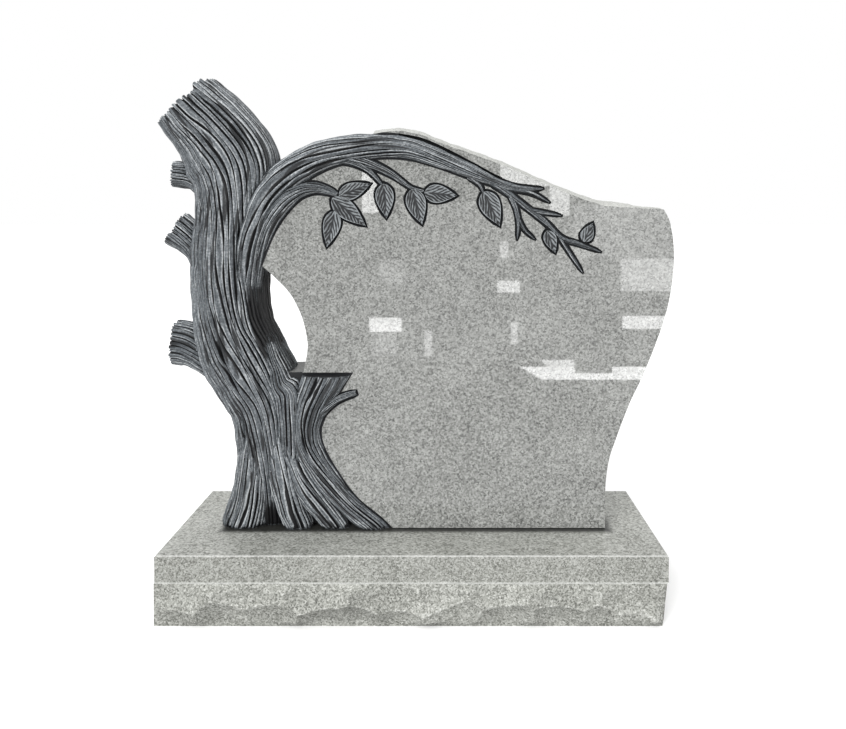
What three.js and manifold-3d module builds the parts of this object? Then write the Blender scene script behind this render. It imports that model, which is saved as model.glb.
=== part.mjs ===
// A granite headstone in two stones. The upright stone is one block: a polished slab whose right edge
// sweeps out in an S, with a furrowed tree carved on its left. The trunk stands clear of the slab over a
// slanting hole, and its branch arches over the polished face and ends in twigs and leaves cut in low
// relief. The slab's top is rock-pitched. Under it lies a wide base with a smooth upper margin and a
// rock-pitched band below.
// Millimetres, +Z up, +X to the viewer's right, the polished face towards -Y. The origin is the centre of
// the base's underside.
import * as THREE from "three";
import Module from "manifold-3d";

const wasm = await Module();
wasm.setup();
const { Manifold, Mesh: Triangles } = wasm;

// Driving dimensions
const BASE_WIDTH = 1100;
const BASE_DEPTH = 350;
const BASE_HEIGHT = 150;
const BASE_MARGIN = 57; // height of the smooth band above the rock-pitched one
const BASE_ARRIS = 3; // bevel round the top of the base
const BAND_SWELL = 15; // how far the rock-pitched band swells past the smooth one
const BAND_STEP = 2; // how far it stands out along its two straight edges
const BAND_EASE = 35; // the swell dies out over this length towards a corner
const BAND_FOOT = 14; // and over this height towards its upper and lower edges
const END_LEAN = 10; // how far the right end falls back towards the ground
const BAND_FLAKES = [135, 100]; // width of the flakes struck off the band: the upper row, then the lower
const STONE_HEIGHT = 1060; // the upright stone, from its foot to the broken top of the trunk
const SLAB_THICKNESS = 130;
const FACE_SETBACK = 129; // from the front of the base back to the polished face
const SETTING_GAP = 0.3; // the upright stone stands this far above the base
const CROWN_RISE = 13; // how far the middle of the pitched top stands above its two edges
const CROWN_ENDS = 560; // where the crown has died away, towards the right corner
const CROWN_FADE = 80; // the length over which it dies away
const TOP_SWELL = 5; // how far the pitched top's flakes stand out
const TOP_FLAKES = [110, 80]; // their widths
const TOP_BITE = 6; // the deepest that they bite
const TOP_STAND = 2; // the most that they stand up
const STUMP_CUT = 8; // the V cut goes round the stump's sawn top this far above it
const OUTLINE_WIDTH = 5; // width of the V cut round the carving on the face
const OUTLINE_DEPTH = 6;
const HOLLOW_DEPTH = 12; // depth of the hollow above the branch
const RECESS_DEPTH = 30; // depth of the recess behind the roots
const LEAF_PROUD = 2.4; // the rim of a leaf above the polished face
const LEAF_FOLD = 3.2; // how far its midrib lies below the rim
const LEAF_ROOT = 12; // how far its body runs into the stone
const FINEST_EDGE = 0.4; // edges shorter than this are closed up where carved forms cross

const faceY = -BASE_DEPTH / 2 + FACE_SETBACK;
const midY = faceY + SLAB_THICKNESS / 2;
const foot = BASE_HEIGHT + SETTING_GAP;

// The carving is drawn in hundredths of the stone's height, across from the base's centre and up from the
// foot. Depths are in halves of the slab's thickness: 1 is the polished face and -1 is the back.
const unit = STONE_HEIGHT / 100;
const acrossX = (across) => across * unit;
const upZ = (up) => foot + up * unit;
const depthY = (depth) => midY - (depth * SLAB_THICKNESS) / 2;

// Each limb is a row of stations, from its root to its end: across, up, half width, front, back.
const TRUNK = [
  [-35.0, -4, 8.4, 0.7, -1.2],
  [-34.0, 4, 7.3, 0.95, -1.25],
  [-33.5, 12, 6.7, 1.2, -1.3],
  [-33.7, 19, 6.8, 1.35, -1.36],
  [-34.5, 26, 7.2, 1.4, -1.4],
  [-37.0, 32, 8.4, 1.42, -1.42],
  [-39.5, 38, 9.2, 1.42, -1.42],
  [-41.2, 44, 8.5, 1.42, -1.42],
  [-41.9, 51, 8.4, 1.42, -1.42],
  [-41.9, 60, 8.4, 1.42, -1.42],
  [-41.0, 69, 8.3, 1.42, -1.42],
  [-40.5, 75, 9.0, 1.44, -1.42],
  [-40.8, 79.2, 10.2, 1.44, -1.4],
  [-42.2, 82.8, 9.6, 1.42, -1.38],
  [-44.7, 86.9, 8.7, 1.4, -1.34],
  [-47.5, 91.1, 8.5, 1.32, -1.24],
  [-50.1, 94.1, 8.3, 1.25, -1.15],
];
const BRANCH = [
  [-38.4, 38, 3.0, 0.7, -0.7],
  [-37.6, 48, 3.2, 1.0, -1.0],
  [-37.0, 56, 3.3, 1.22, -1.1],
  [-35.6, 64.0, 3.6, 1.38, -1.2],
  [-32.6, 71.8, 3.9, 1.42, -1.26],
  [-28.0, 77.2, 4.1, 1.42, -1.26],
  [-22.0, 81.0, 3.9, 1.4, -1.24],
  [-15.4, 83.0, 3.5, 1.34, -1.18],
  [-7.7, 83.8, 3.0, 1.28, -0.6],
  [-1.1, 83.3, 2.4, 1.22, 0.4],
  [5.5, 81.1, 1.9, 1.18, 0.72],
  [12.1, 78.4, 1.6, 1.14, 0.76],
  [17.6, 76, 1.0, 1.1, 0.76],
  [21.6, 74.8, 0.7, 1.07, 0.76],
  [25.6, 74.5, 0.45, 1.05, 0.76],
  [27.9, 74.6, 0.15, 1.03, 0.76],
];
const INNER_BOUGH = [
  [-37.0, 50, 2.2, 0.9, 0.2],
  [-35.2, 59.0, 2.4, 1.1, 0.3],
  [-32.8, 66.0, 2.5, 1.26, 0.4],
  [-29.2, 71.2, 2.4, 1.32, 0.45],
  [-25.4, 73.9, 1.8, 1.26, 0.5],
  [-21.8, 74.7, 1.3, 1.16, 0.66],
  [-18.8, 74.1, 0.9, 1.1, 0.76],
  [-16.8, 73.2, 0.5, 1.06, 0.76],
];
const BRANCH_BOW = 0.75; // how square the branch's section is: 1 is an oval
const STUMP = [
  [-5.4, -4, 3.1, 1.12, 0.3],
  [-8.8, 0, 2.8, 1.18, 0.3],
  [-14.4, 4.9, 2.6, 1.2, 0.3],
  [-19.3, 10.6, 3.1, 1.24, 0.3],
  [-23.0, 16.8, 3.3, 1.3, 0.3],
  [-23.9, 21.6, 3.3, 1.34, 0.3],
  [-23.1, 26, 3.7, 1.38, 0.3],
  [-21.5, 29.9, 4.2, 1.4, 0.4],
  [-19.9, 33.3, 4.7, 1.4, 0.5],
  [-18.4, 37, 5.4, 1.4, 0.5],
];
const STUMP_TOP = 33.2; // the stump is sawn off level at this height
// The bark that spans from the trunk's flank to the stump and runs on into the roots
const WEB = [
  [-33.6, 42, 2.0, 0.8, -1.0],
  [-31.9, 37.5, 2.4, 1.05, -1.1],
  [-29.5, 33, 2.8, 1.25, -1.15],
  [-28.1, 30.4, 4.2, 1.3, -1.15],
  [-27.7, 27, 4.5, 1.3, -1.15],
  [-27.3, 22, 4.4, 1.28, -1.15],
  [-27.4, 15, 4.3, 1.18, -1.15],
  [-27.8, 7, 3.9, 0.85, -1.1],
  [-27.9, -3, 3.8, 0.55, -1.0],
];
const STUMP_SPUR = [
  [-21.6, 24.8, 1.3, 1.22, 0.7],
  [-19.0, 27.1, 1.0, 1.22, 0.75],
  [-16.4, 28.7, 0.75, 1.16, 0.76],
  [-12.8, 29.9, 0.55, 1.1, 0.76],
];
const STUBS = {
  upper: [
    [-43.0, 72.2, 3.0, 0.7, -0.7],
    [-47.6, 75.8, 3.0, 0.62, -0.62],
    [-50.4, 77.6, 3.0, 0.6, -0.6],
    [-54.0, 78.3, 3.0, 0.6, -0.6],
  ],
  middle: [
    [-45.6, 51.5, 2.6, 0.8, -0.8],
    [-46.9, 57, 3.2, 0.85, -0.85],
    [-48.7, 61.0, 3.4, 0.85, -0.85],
    [-51.3, 63.7, 3.8, 0.8, -0.8],
    [-54.4, 65.9, 4.1, 0.7, -0.7],
  ],
  lower: [
    [-40.5, 27.0, 2.6, 0.8, -0.8],
    [-42.7, 32.5, 3.2, 0.9, -0.9],
    [-46.9, 37.2, 4.1, 0.9, -0.9],
    [-50.9, 39.8, 4.6, 0.85, -0.85],
    [-54.6, 40.4, 4.6, 0.75, -0.75],
  ],
};
const ROOTS = {
  left: [
    [-34.8, 20, 4.4, 1.2, -1.2],
    [-35.9, 11.5, 4.4, 1.24, -1.24],
    [-37.1, 5.6, 4.4, 1.2, -1.24],
    [-39.0, 0, 4.7, 1.08, -1.26],
    [-40.0, -4, 4.9, 1.04, -1.26],
  ],
  middle: [
    [-31.0, 20, 3.2, 1.2, 0.1],
    [-29.0, 11.2, 3.3, 1.3, 0.1],
    [-27.2, 4.5, 3.3, 1.24, 0.1],
    [-25.7, 0, 3.3, 1.14, 0.1],
    [-25.0, -4, 3.4, 1.1, 0.1],
  ],
  right: [
    [-28.4, 18, 2.2, 1.15, 0.2],
    [-25.7, 12, 2.4, 1.28, 0.2],
    [-22.2, 7, 2.2, 1.24, 0.2],
    [-18.7, 3, 2.0, 1.16, 0.2],
    [-16.3, 0, 1.9, 1.12, 0.2],
    [-14.4, -4, 2.0, 1.1, 0.2],
  ],
};
const BACK_ROOTS = {
  left: [
    [-33.8, 18, 3.6, 0.2, -1.25],
    [-33.6, 9, 3.8, 0.2, -1.36],
    [-34.6, 0, 4.4, 0.2, -1.42],
    [-35.0, -4, 4.6, 0.2, -1.42],
  ],
  right: [
    [-31.0, 18, 3.2, 0.2, -1.18],
    [-28.0, 9, 3.4, 0.2, -1.28],
    [-24.4, 0, 3.8, 0.2, -1.34],
    [-23.0, -4, 4.0, 0.2, -1.34],
  ],
};
const TWIGS = [
  [
    [-18.0, 81.0, 0.8, 1.12, 0.7],
    [-13.6, 80.3, 0.75, 1.1, 0.7],
    [-10.0, 78.5, 0.5, 1.07, 0.76],
    [-7.1, 75.4, 0.3, 1.04, 0.76],
  ],
  [
    [-17.0, 81.8, 1.1, 1.16, 0.6],
    [-12.0, 80.8, 1.1, 1.16, 0.6],
    [-6.6, 78.6, 0.8, 1.1, 0.76],
    [-3.2, 76.5, 0.5, 1.07, 0.76],
    [-0.8, 74.8, 0.35, 1.05, 0.76],
    [2.0, 74.0, 0.25, 1.04, 0.76],
  ],
  [
    [11.8, 77.3, 0.6, 1.08, 0.76],
    [14.2, 75.4, 0.4, 1.05, 0.76],
    [15.0, 73.8, 0.25, 1.04, 0.76],
  ],
  [
    [20.2, 74.5, 0.4, 1.05, 0.76],
    [25.2, 73.7, 0.45, 1.05, 0.76],
    [29.3, 71.6, 0.12, 1.03, 0.76],
  ],
  [
    [16.8, 75.8, 0.65, 1.07, 0.76],
    [20.6, 73.4, 0.65, 1.06, 0.76],
    [25.8, 69.4, 0.55, 1.06, 0.76],
    [29.0, 66.8, 0.55, 1.06, 0.76],
    [32.2, 63.8, 0.45, 1.05, 0.76],
    [36.2, 62.4, 0.4, 1.05, 0.76],
    [40.5, 60.8, 0.12, 1.03, 0.76],
  ],
  [
    [31.0, 64.8, 0.4, 1.05, 0.76],
    [33.9, 60.5, 0.35, 1.05, 0.76],
    [36.6, 56.4, 0.12, 1.03, 0.76],
  ],
  [
    [25.2, 69.8, 0.4, 1.05, 0.76],
    [28.6, 69.3, 0.35, 1.05, 0.76],
    [31.9, 68.7, 0.12, 1.03, 0.76],
  ],
  [
    [20.8, 73.2, 0.5, 1.05, 0.76],
    [22.2, 70.0, 0.45, 1.05, 0.76],
    [22.7, 67.0, 0.4, 1.05, 0.76],
    [22.4, 63.6, 0.12, 1.03, 0.76],
  ],
  [
    [22.6, 68.4, 0.3, 1.05, 0.76],
    [24.0, 65.6, 0.3, 1.05, 0.76],
    [26.2, 63.6, 0.12, 1.03, 0.76],
  ],
];
// Each leaf: where it leaves its twig, its tip and its half width.
const LEAVES = [
  { base: [-16.4, 73.0], tip: [-9.5, 75.6], half: 1.75 },
  { base: [-17.9, 72.5], tip: [-10.6, 66.4], half: 2.0 },
  { base: [-17.3, 69.7], tip: [-19.1, 61.8], half: 1.85 },
  { base: [-6.7, 75.6], tip: [-6.1, 68.1], half: 1.95 },
  { base: [-0.5, 74.5], tip: [1.7, 66.7], half: 2.1 },
  { base: [2.2, 73.7], tip: [9.3, 73.0], half: 1.95 },
  { base: [15.1, 73.9], tip: [18.6, 66.4], half: 2.2 },
  { base: [28.9, 65.4], tip: [30.7, 60.6], half: 1.35 },
  { base: [36.9, 63.0], tip: [38.8, 67.0], half: 1.35 },
];
// The dark hollow between the arching branch and the rim of the slab above it
const BRANCH_HOLLOW = [
  [-3.4, 86.3, 0.3, 1.05, 0.8],
  [1.6, 84.9, 0.7, 1.05, 0.8],
  [6.8, 82.6, 0.75, 1.05, 0.8],
  [11.8, 80.1, 0.65, 1.05, 0.8],
  [15.8, 78.1, 0.45, 1.05, 0.8],
  [19.0, 76.9, 0.15, 1.05, 0.8],
];
// The recess between the stump and the roots, cut into the slab behind them
const ROOT_RECESS = [
  [-36, -1],
  [-9.5, -1],
  [-12.5, 2],
  [-17, 6],
  [-21, 11],
  [-24, 17],
  [-30, 17],
  [-36, 12],
];
// The slab's outline, up its right edge, and down its left edge beside the hole
const RIGHT_EDGE = [
  [41.8, 0],
  [41.8, 8],
  [42.5, 14.6],
  [44.1, 19.8],
  [47.1, 27.7],
  [49.6, 33.0],
  [52.8, 40.9],
  [55.3, 48.8],
  [56.5, 56.7],
  [56.5, 62.5],
  [55.7, 67.2],
  [54.2, 70.3],
];
const UNDER_BRANCH = [
  [-9.0, 84.0],
  [-15.3, 82.6],
  [-22.4, 80.2],
  [-28.1, 76.0],
  [-32.4, 70.3],
  [-35.0, 64.4],
];
const HOLE_EDGE = [
  [-38.4, 60.6],
  [-34.6, 58.7],
  [-30.7, 55.4],
  [-27.0, 51.4],
  [-24.5, 46.2],
  [-23.4, 40.9],
  [-23.7, 37.3],
  [-24.3, 33.6],
  [-32.5, 33.4],
];
// The front edge of the slab's pitched top, from the branch down to the right corner
const TOP_LINE = [
  [-42, 82],
  [-28, 82],
  [-16, 84.0],
  [-9, 86.4],
  [-3, 87.0],
  [2, 86.0],
  [5.5, 84.5],
  [18.5, 79.9],
  [27.4, 76.0],
  [34.2, 73.2],
  [41, 70.9],
  [47, 70.4],
  [53, 70.2],
  [60, 69.8],
];

// A smooth curve through rows of numbers: every column is a Catmull-Rom spline of the row's index.
function smoothRow(rows, index) {
  const i = Math.min(Math.floor(index), rows.length - 2);
  const t = index - i;
  const [a, b, c, d] = [i - 1, i, i + 1, i + 2].map(
    (k) => rows[Math.min(Math.max(k, 0), rows.length - 1)],
  );
  return b.map((_, n) => {
    const slope = (c[n] - a[n]) / 2;
    const next = (d[n] - b[n]) / 2;
    const rise = c[n] - b[n];
    return b[n] + t * (slope + t * (3 * rise - 2 * slope - next + t * (slope + next - 2 * rise)));
  });
}
const smoothRows = (rows, count) =>
  Array.from({ length: count }, (_, i) => smoothRow(rows, (i * (rows.length - 1)) / (count - 1)));

// A closed solid from points and triangles
function solid(points, triangles) {
  return new Manifold(
    new Triangles({
      numProp: 3,
      vertProperties: new Float32Array(points.flat()),
      triVerts: new Uint32Array(triangles.flat()),
    }),
  );
}

// Joins rings of points into a closed skin, with a point in the middle of each end. The rings turn
// anticlockwise about the direction in which they follow each other.
function skin(rings, firstMiddle, lastMiddle) {
  const sides = rings[0].length;
  const points = [...rings.flat(), firstMiddle, lastMiddle];
  const triangles = [];
  for (let i = 0; i + 1 < rings.length; i++) {
    for (let j = 0; j < sides; j++) {
      const next = (j + 1) % sides;
      const [a, b] = [i * sides + j, i * sides + next];
      const [c, d] = [b + sides, a + sides];
      triangles.push([a, b, c], [a, c, d]);
    }
  }
  const last = (rings.length - 1) * sides;
  const [first, end] = [rings.length * sides, rings.length * sides + 1];
  for (let j = 0; j < sides; j++) {
    const next = (j + 1) % sides;
    triangles.push([first, next, j], [end, last + j, last + next]);
  }
  return solid(points, triangles);
}

const bowed = (value, bow) => Math.sign(value) * Math.abs(value) ** bow;

// A limb of the tree: an oval section swept through its stations, the squarer the smaller bow is. The
// strands of its bark run along it with furrows between them, and at a broken end the furrows fall back by
// ragged.
function limb(stations, { rings, strands, furrow, ragged = 0, bow = 1 }) {
  const rows = smoothRows(stations, rings);
  const middles = rows.map(([x, z, , front, back]) => [
    acrossX(x),
    depthY((front + back) / 2),
    upZ(z),
  ]);
  const sides = strands * 2;
  const skinRings = rows.map(([, , half, front, back], i) => {
    const [before, after] = [middles[Math.max(i - 1, 0)], middles[Math.min(i + 1, rings - 1)]];
    const run = Math.hypot(after[0] - before[0], after[2] - before[2]);
    const [tx, tz] = [(after[0] - before[0]) / run, (after[2] - before[2]) / run];
    const halfWidth = half * unit;
    const halfDepth = ((front - back) * SLAB_THICKNESS) / 4;
    const cut = Math.min(furrow, halfWidth / 3);
    return Array.from({ length: sides }, (_, j) => {
      const angle = (Math.PI * 2 * j) / sides;
      const ridge = j % 2;
      const inset = ridge ? 0 : cut;
      const side = (halfWidth - inset) * bowed(Math.cos(angle), bow);
      const push = i === rings - 1 && !ridge ? -ragged : 0;
      return [
        middles[i][0] + tz * side + tx * push,
        middles[i][1] + (halfDepth - inset) * bowed(Math.sin(angle), bow),
        middles[i][2] - tx * side + tz * push,
      ];
    });
  });
  return skin(skinRings, middles[0], middles[rings - 1]);
}

// The V cut that outlines a limb on the polished face: an oval trough centred on the face, as wide as the
// limb is there and spread wider on each side. It narrows at the limb's two ends.
function outlineCut(stations, { rings, sides, spread, depth, bow = 1 }) {
  const rows = smoothRows(stations, rings);
  const middles = rows.map(([x, z]) => [acrossX(x), faceY, upZ(z)]);
  const atFace = 0.93; // the depth at which the limb's width counts, just behind the face
  const mostSunk = 0.95; // a limb that stands almost clear of the face still has a trough
  const endSpread = 0.3; // the share of the spread that is left at the ends
  const troughRings = rows.map(([, , half, front, back], i) => {
    const behind = (atFace - (front + back) / 2) / ((front - back) / 2);
    const sunk = Math.min(Math.max(behind, 0), mostSunk);
    const share = (1 - sunk ** (2 / bow)) ** (bow / 2);
    const atEnd = i === 0 || i === rings - 1;
    const reach = half * unit * share + spread * (atEnd ? endSpread : 1);
    const [before, after] = [middles[Math.max(i - 1, 0)], middles[Math.min(i + 1, rings - 1)]];
    const run = Math.hypot(after[0] - before[0], after[2] - before[2]);
    const [tx, tz] = [(after[0] - before[0]) / run, (after[2] - before[2]) / run];
    const past = (i === rings - 1 ? 1 : i === 0 ? -1 : 0) * spread;
    return Array.from({ length: sides }, (_, j) => {
      const angle = (Math.PI * 2 * (j + 0.5)) / sides;
      const side = reach * Math.cos(angle);
      return [
        middles[i][0] + tz * side + tx * past,
        middles[i][1] + depth * Math.sin(angle),
        middles[i][2] - tx * side + tz * past,
      ];
    });
  });
  const endMiddle = (ring) => ring[0].map((value, n) => (value + ring[sides / 2][n]) / 2);
  return skin(troughRings, endMiddle(troughRings[0]), endMiddle(troughRings[rings - 1]));
}

// A leaf's outline on the face, anticlockwise from its base as the viewer sees it: widest before the
// middle, drawn out to a point at the tip. spread moves it outwards.
function leafOutline({ base, tip, half }, steps, spread) {
  const [bx, bz] = [acrossX(base[0]), upZ(base[1])];
  const [length, lean] = [
    Math.hypot(tip[0] - base[0], tip[1] - base[1]) * unit,
    Math.atan2(tip[1] - base[1], tip[0] - base[0]),
  ];
  const fullWidth = 3.6; // brings the widest place, a third of the way along, to the half width
  const side = (t) => half * unit * fullWidth * t ** 0.7 * (1 - t) ** 1.25;
  const place = (run, out) => [
    bx + run * Math.cos(lean) - out * Math.sin(lean),
    bz + run * Math.sin(lean) + out * Math.cos(lean),
  ];
  const outline = [];
  for (let i = 0; i < steps * 2; i++) {
    const t = i <= steps ? i / steps : 2 - i / steps;
    const sign = i <= steps ? -1 : 1;
    const run = t * length + 1.5 * spread * (2 * t - 1);
    outline.push(place(run, i % steps === 0 ? 0 : sign * (side(t) + spread)));
  }
  return outline;
}

// A folded leaf: its rim stands above the face and its midrib lies lower.
function leaf(shape) {
  const steps = 7;
  const outline = leafOutline(shape, steps, 0);
  const count = outline.length;
  const rimY = faceY - LEAF_PROUD;
  const points = [
    ...outline.map(([x, z]) => [x, faceY + LEAF_ROOT, z]),
    ...outline.map(([x, z]) => [x, rimY, z]),
  ];
  const ribStart = points.length;
  for (let i = 1; i < steps; i++) {
    const [a, b] = [outline[i], outline[count - i]];
    points.push([(a[0] + b[0]) / 2, rimY + LEAF_FOLD, (a[1] + b[1]) / 2]);
  }
  const rib = (i) => (i === 0 ? count : i === steps ? count + steps : ribStart + i - 1);
  const triangles = [];
  for (let j = 0; j < count; j++) {
    const next = (j + 1) % count;
    triangles.push([j, next, count + next], [j, count + next, count + j]);
    if (j > 0 && j + 1 < count) triangles.push([0, j + 1, j]);
  }
  for (let i = 0; i < steps; i++) {
    const [low, lowNext] = [count + i, count + i + 1];
    const [high, highNext] = [count + ((count - i) % count), count + count - i - 1];
    if (i > 0) triangles.push([low, lowNext, rib(i)]);
    if (i + 1 < steps) triangles.push([lowNext, rib(i + 1), rib(i)]);
    if (i > 0) triangles.push([high, rib(i), highNext]);
    if (i + 1 < steps) triangles.push([highNext, rib(i), rib(i + 1)]);
  }
  return solid(points, triangles);
}

// The V cut round a leaf narrows as it goes in.
function leafCut(shape) {
  const steps = 7;
  const levels = [
    [-OUTLINE_DEPTH, OUTLINE_WIDTH],
    [0, OUTLINE_WIDTH],
    [OUTLINE_DEPTH, OUTLINE_WIDTH / 5],
  ];
  const rings = levels
    .map(([into, spread]) =>
      leafOutline(shape, steps, spread).map(([x, z]) => [x, faceY + into, z]),
    )
    .reverse();
  const middle = (ring) => {
    const [a, b] = [ring[0], ring[steps]];
    return [(a[0] + b[0]) / 2, a[1], (a[2] + b[2]) / 2];
  };
  return skin(rings, middle(rings[0]), middle(rings[2]));
}

// Broken stone is two rows of wide shallow flakes, an upper row that leans out downwards and a lower one
// that falls back under it. This is how far the stone stands out at a point: the lowest flake wins, and a
// crest is left where two meet. widths are those of the two rows' flakes, spread by golden-ratio steps.
const GOLDEN = 0.618034;
const ROW_LEVELS = [0.68, 0.16]; // where the middle of each row lies, as a share of the band's height
const ROW_LEANS = [-0.16, 0.34]; // how the two rows lean: a minus sign is outwards going down
function flakes(along, up, { length, height, widths, swell }) {
  let out = Infinity;
  widths.forEach((width, row) => {
    const count = Math.floor(length / width);
    for (let k = 0; k < count; k++) {
      const chance = [0, 1, 2, 3, 4].map((n) => ((k * GOLDEN * (n + 1) + 0.37 * n) % 1) - 0.5);
      const centre = ((k + 0.5 + 0.7 * chance[0]) * length) / count;
      const aside = ((((along - centre + length / 2) % length) + length) % length) - length / 2;
      const above = up - (ROW_LEVELS[row] + 0.3 * chance[1]) * height;
      const radius = width * (1.5 + 1.2 * chance[2]);
      const bowl = (aside ** 2 + 2 * above ** 2) / (2 * radius);
      const tilt = 0.16 * chance[3] * aside + ROW_LEANS[row] * (1 + chance[4]) * above;
      out = Math.min(out, swell * (0.45 + 0.5 * chance[1]) + tilt + bowl);
    }
  });
  return out;
}

// A block under a broken top surface, whose height at any point comes from heightAt
function blockUnder(xs, ys, heightAt, bottomZ) {
  const points = [];
  const at = (i, j, level) => (i * ys.length + j) * 2 + level;
  xs.forEach((x) => ys.forEach((y) => points.push([x, y, bottomZ], [x, y, heightAt(x, y)])));
  const triangles = [];
  const quad = (a, b, c, d) => triangles.push([a, b, c], [a, c, d]);
  const [lastX, lastY] = [xs.length - 1, ys.length - 1];
  for (let i = 0; i < lastX; i++) {
    for (let j = 0; j < lastY; j++) {
      quad(at(i, j, 1), at(i + 1, j, 1), at(i + 1, j + 1, 1), at(i, j + 1, 1));
      quad(at(i, j, 0), at(i, j + 1, 0), at(i + 1, j + 1, 0), at(i + 1, j, 0));
    }
    quad(at(i, 0, 0), at(i + 1, 0, 0), at(i + 1, 0, 1), at(i, 0, 1));
    quad(at(i + 1, lastY, 0), at(i, lastY, 0), at(i, lastY, 1), at(i + 1, lastY, 1));
  }
  for (let j = 0; j < lastY; j++) {
    quad(at(lastX, j, 0), at(lastX, j + 1, 0), at(lastX, j + 1, 1), at(lastX, j, 1));
    quad(at(0, j + 1, 0), at(0, j, 0), at(0, j, 1), at(0, j + 1, 1));
  }
  return solid(points, triangles);
}

// The solid of a three.js extrusion of an outline, standing upright between two depths
function uprightPrism(outline, frontY, backY) {
  const shape = new THREE.Shape(outline.map(([x, z]) => new THREE.Vector2(x, z)));
  const flat = new THREE.ExtrudeGeometry(shape, { depth: backY - frontY, bevelEnabled: false });
  flat.rotateX(Math.PI / 2).translate(0, backY, 0);
  const position = flat.getAttribute("position");
  const seen = new Map();
  const points = [];
  const corner = [];
  for (let i = 0; i < position.count; i++) {
    const point = [position.getX(i), position.getY(i), position.getZ(i)];
    const key = point.map((value) => value.toFixed(3)).join();
    if (!seen.has(key)) seen.set(key, points.push(point) - 1);
    corner.push(seen.get(key));
  }
  const triangles = [];
  for (let i = 0; i < corner.length; i += 3) triangles.push(corner.slice(i, i + 3));
  return solid(points, triangles);
}

// The polished slab: a straight-sided prism cut off under the pitched top.
function slab() {
  const place = ([x, z]) => [acrossX(x), upZ(z)];
  const skyline = 95;
  const rightOfSky = 53.6; // the right edge's line carried up past the top
  const outline = [
    ...smoothRows(RIGHT_EDGE, 26).map(place),
    place([rightOfSky, skyline]),
    place([UNDER_BRANCH[0][0], skyline]),
    ...smoothRows(UNDER_BRANCH, 8).map(place),
    ...smoothRows(HOLE_EDGE.slice(0, -2), 14).map(place),
    ...HOLE_EDGE.slice(-2).map(place),
    place([-32.5, 0]),
  ];
  const prism = uprightPrism(outline, faceY, faceY + SLAB_THICKNESS);
  const columns = 40;
  const rows = 6;
  const [left, right] = [TOP_LINE[0][0], TOP_LINE[TOP_LINE.length - 1][0]];
  const xs = Array.from({ length: columns + 1 }, (_, i) =>
    acrossX(left + ((right - left) * i) / columns),
  );
  const overhang = 12;
  const depth = SLAB_THICKNESS + 2 * overhang;
  const ys = Array.from({ length: rows + 1 }, (_, j) => faceY - overhang + (depth * j) / rows);
  const pastBothEnds = 1400;
  const topShape = { length: pastBothEnds, height: depth, widths: TOP_FLAKES, swell: TOP_SWELL };
  const line = smoothRows(TOP_LINE, 90);
  const lineZ = (x) => {
    const i = line.findIndex((point) => acrossX(point[0]) >= x);
    if (i <= 0) return upZ(line[Math.max(i, 0)][1]);
    const [a, b] = [line[i - 1], line[i]];
    return upZ(a[1] + ((b[1] - a[1]) * (x / unit - a[0])) / (b[0] - a[0]));
  };
  const crownedZ = (x, y) => {
    const across = (y - midY) / (SLAB_THICKNESS / 2);
    const fade = Math.min(Math.max((CROWN_ENDS - x) / CROWN_FADE, 0.2), 1);
    const crown = CROWN_RISE * (1 - Math.min(Math.abs(across), 1) ** 1.8) * fade;
    const broken = flakes(x - xs[0], y - ys[0], topShape);
    const stands = Math.min(Math.max(broken, -TOP_BITE), TOP_STAND);
    return lineZ(x) + crown + stands * (1 - 0.75 * Math.min(Math.abs(across), 1));
  };
  const top = blockUnder(xs, ys, crownedZ, foot - unit);
  return prism.intersect(top);
}

// The whole upright stone
function uprightStone() {
  const reach = STONE_HEIGHT;
  const width = [-reach, reach];
  const belowStumpTop = blockUnder(width, width, () => upZ(STUMP_TOP), foot - reach);
  const belowStumpCut = belowStumpTop.translate([0, 0, STUMP_CUT]);
  const aboveFoot = blockUnder(width, width, () => foot + 2 * reach, foot);
  const bark = [
    limb(TRUNK, { rings: 22, strands: 17, furrow: 5, ragged: 9, bow: 0.85 }),
    limb(WEB, { rings: 10, strands: 7, furrow: 4, bow: 0.9 }),
    limb(BRANCH, { rings: 26, strands: 7, furrow: 4, bow: BRANCH_BOW }),
    limb(INNER_BOUGH, { rings: 11, strands: 5, furrow: 3 }),
    limb(STUMP, { rings: 13, strands: 9, furrow: 4 }).intersect(belowStumpTop),
    limb(STUMP_SPUR, { rings: 5, strands: 4, furrow: 2 }),
    ...Object.values(STUBS).map((stub) =>
      limb(stub, { rings: 6, strands: 8, furrow: 4, ragged: 5 }),
    ),
    ...[...Object.values(ROOTS), ...Object.values(BACK_ROOTS)].map((root) =>
      limb(root, { rings: 7, strands: 7, furrow: 4, bow: 0.75 }),
    ),
    ...TWIGS.map((twig) => limb(twig, { rings: twig.length * 2, strands: 3, furrow: 0 })),
  ];
  const cutShape = { sides: 8, spread: OUTLINE_WIDTH, depth: OUTLINE_DEPTH };
  const outlined = [
    [INNER_BOUGH, 9],
    [STUMP_SPUR, 4],
    ...TWIGS.map((twig) => [twig, twig.length * 2]),
  ];
  const cuts = [
    outlineCut(BRANCH, { ...cutShape, rings: 24, bow: BRANCH_BOW }),
    ...outlined.map(([stations, rings]) => outlineCut(stations, { ...cutShape, rings })),
    outlineCut(STUMP, { ...cutShape, rings: 10 }).intersect(belowStumpCut),
    ...LEAVES.map(leafCut),
    outlineCut(BRANCH_HOLLOW, { rings: 12, sides: 8, spread: 0, depth: HOLLOW_DEPTH }),
    uprightPrism(
      ROOT_RECESS.map(([x, z]) => [acrossX(x), upZ(z)]),
      faceY - RECESS_DEPTH,
      faceY + RECESS_DEPTH,
    ),
  ];
  const stone = Manifold.union([
    slab().subtract(Manifold.union(cuts)),
    ...bark,
    ...LEAVES.map(leaf),
  ]);
  return stone.intersect(aboveFoot).simplify(FINEST_EDGE);
}

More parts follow.
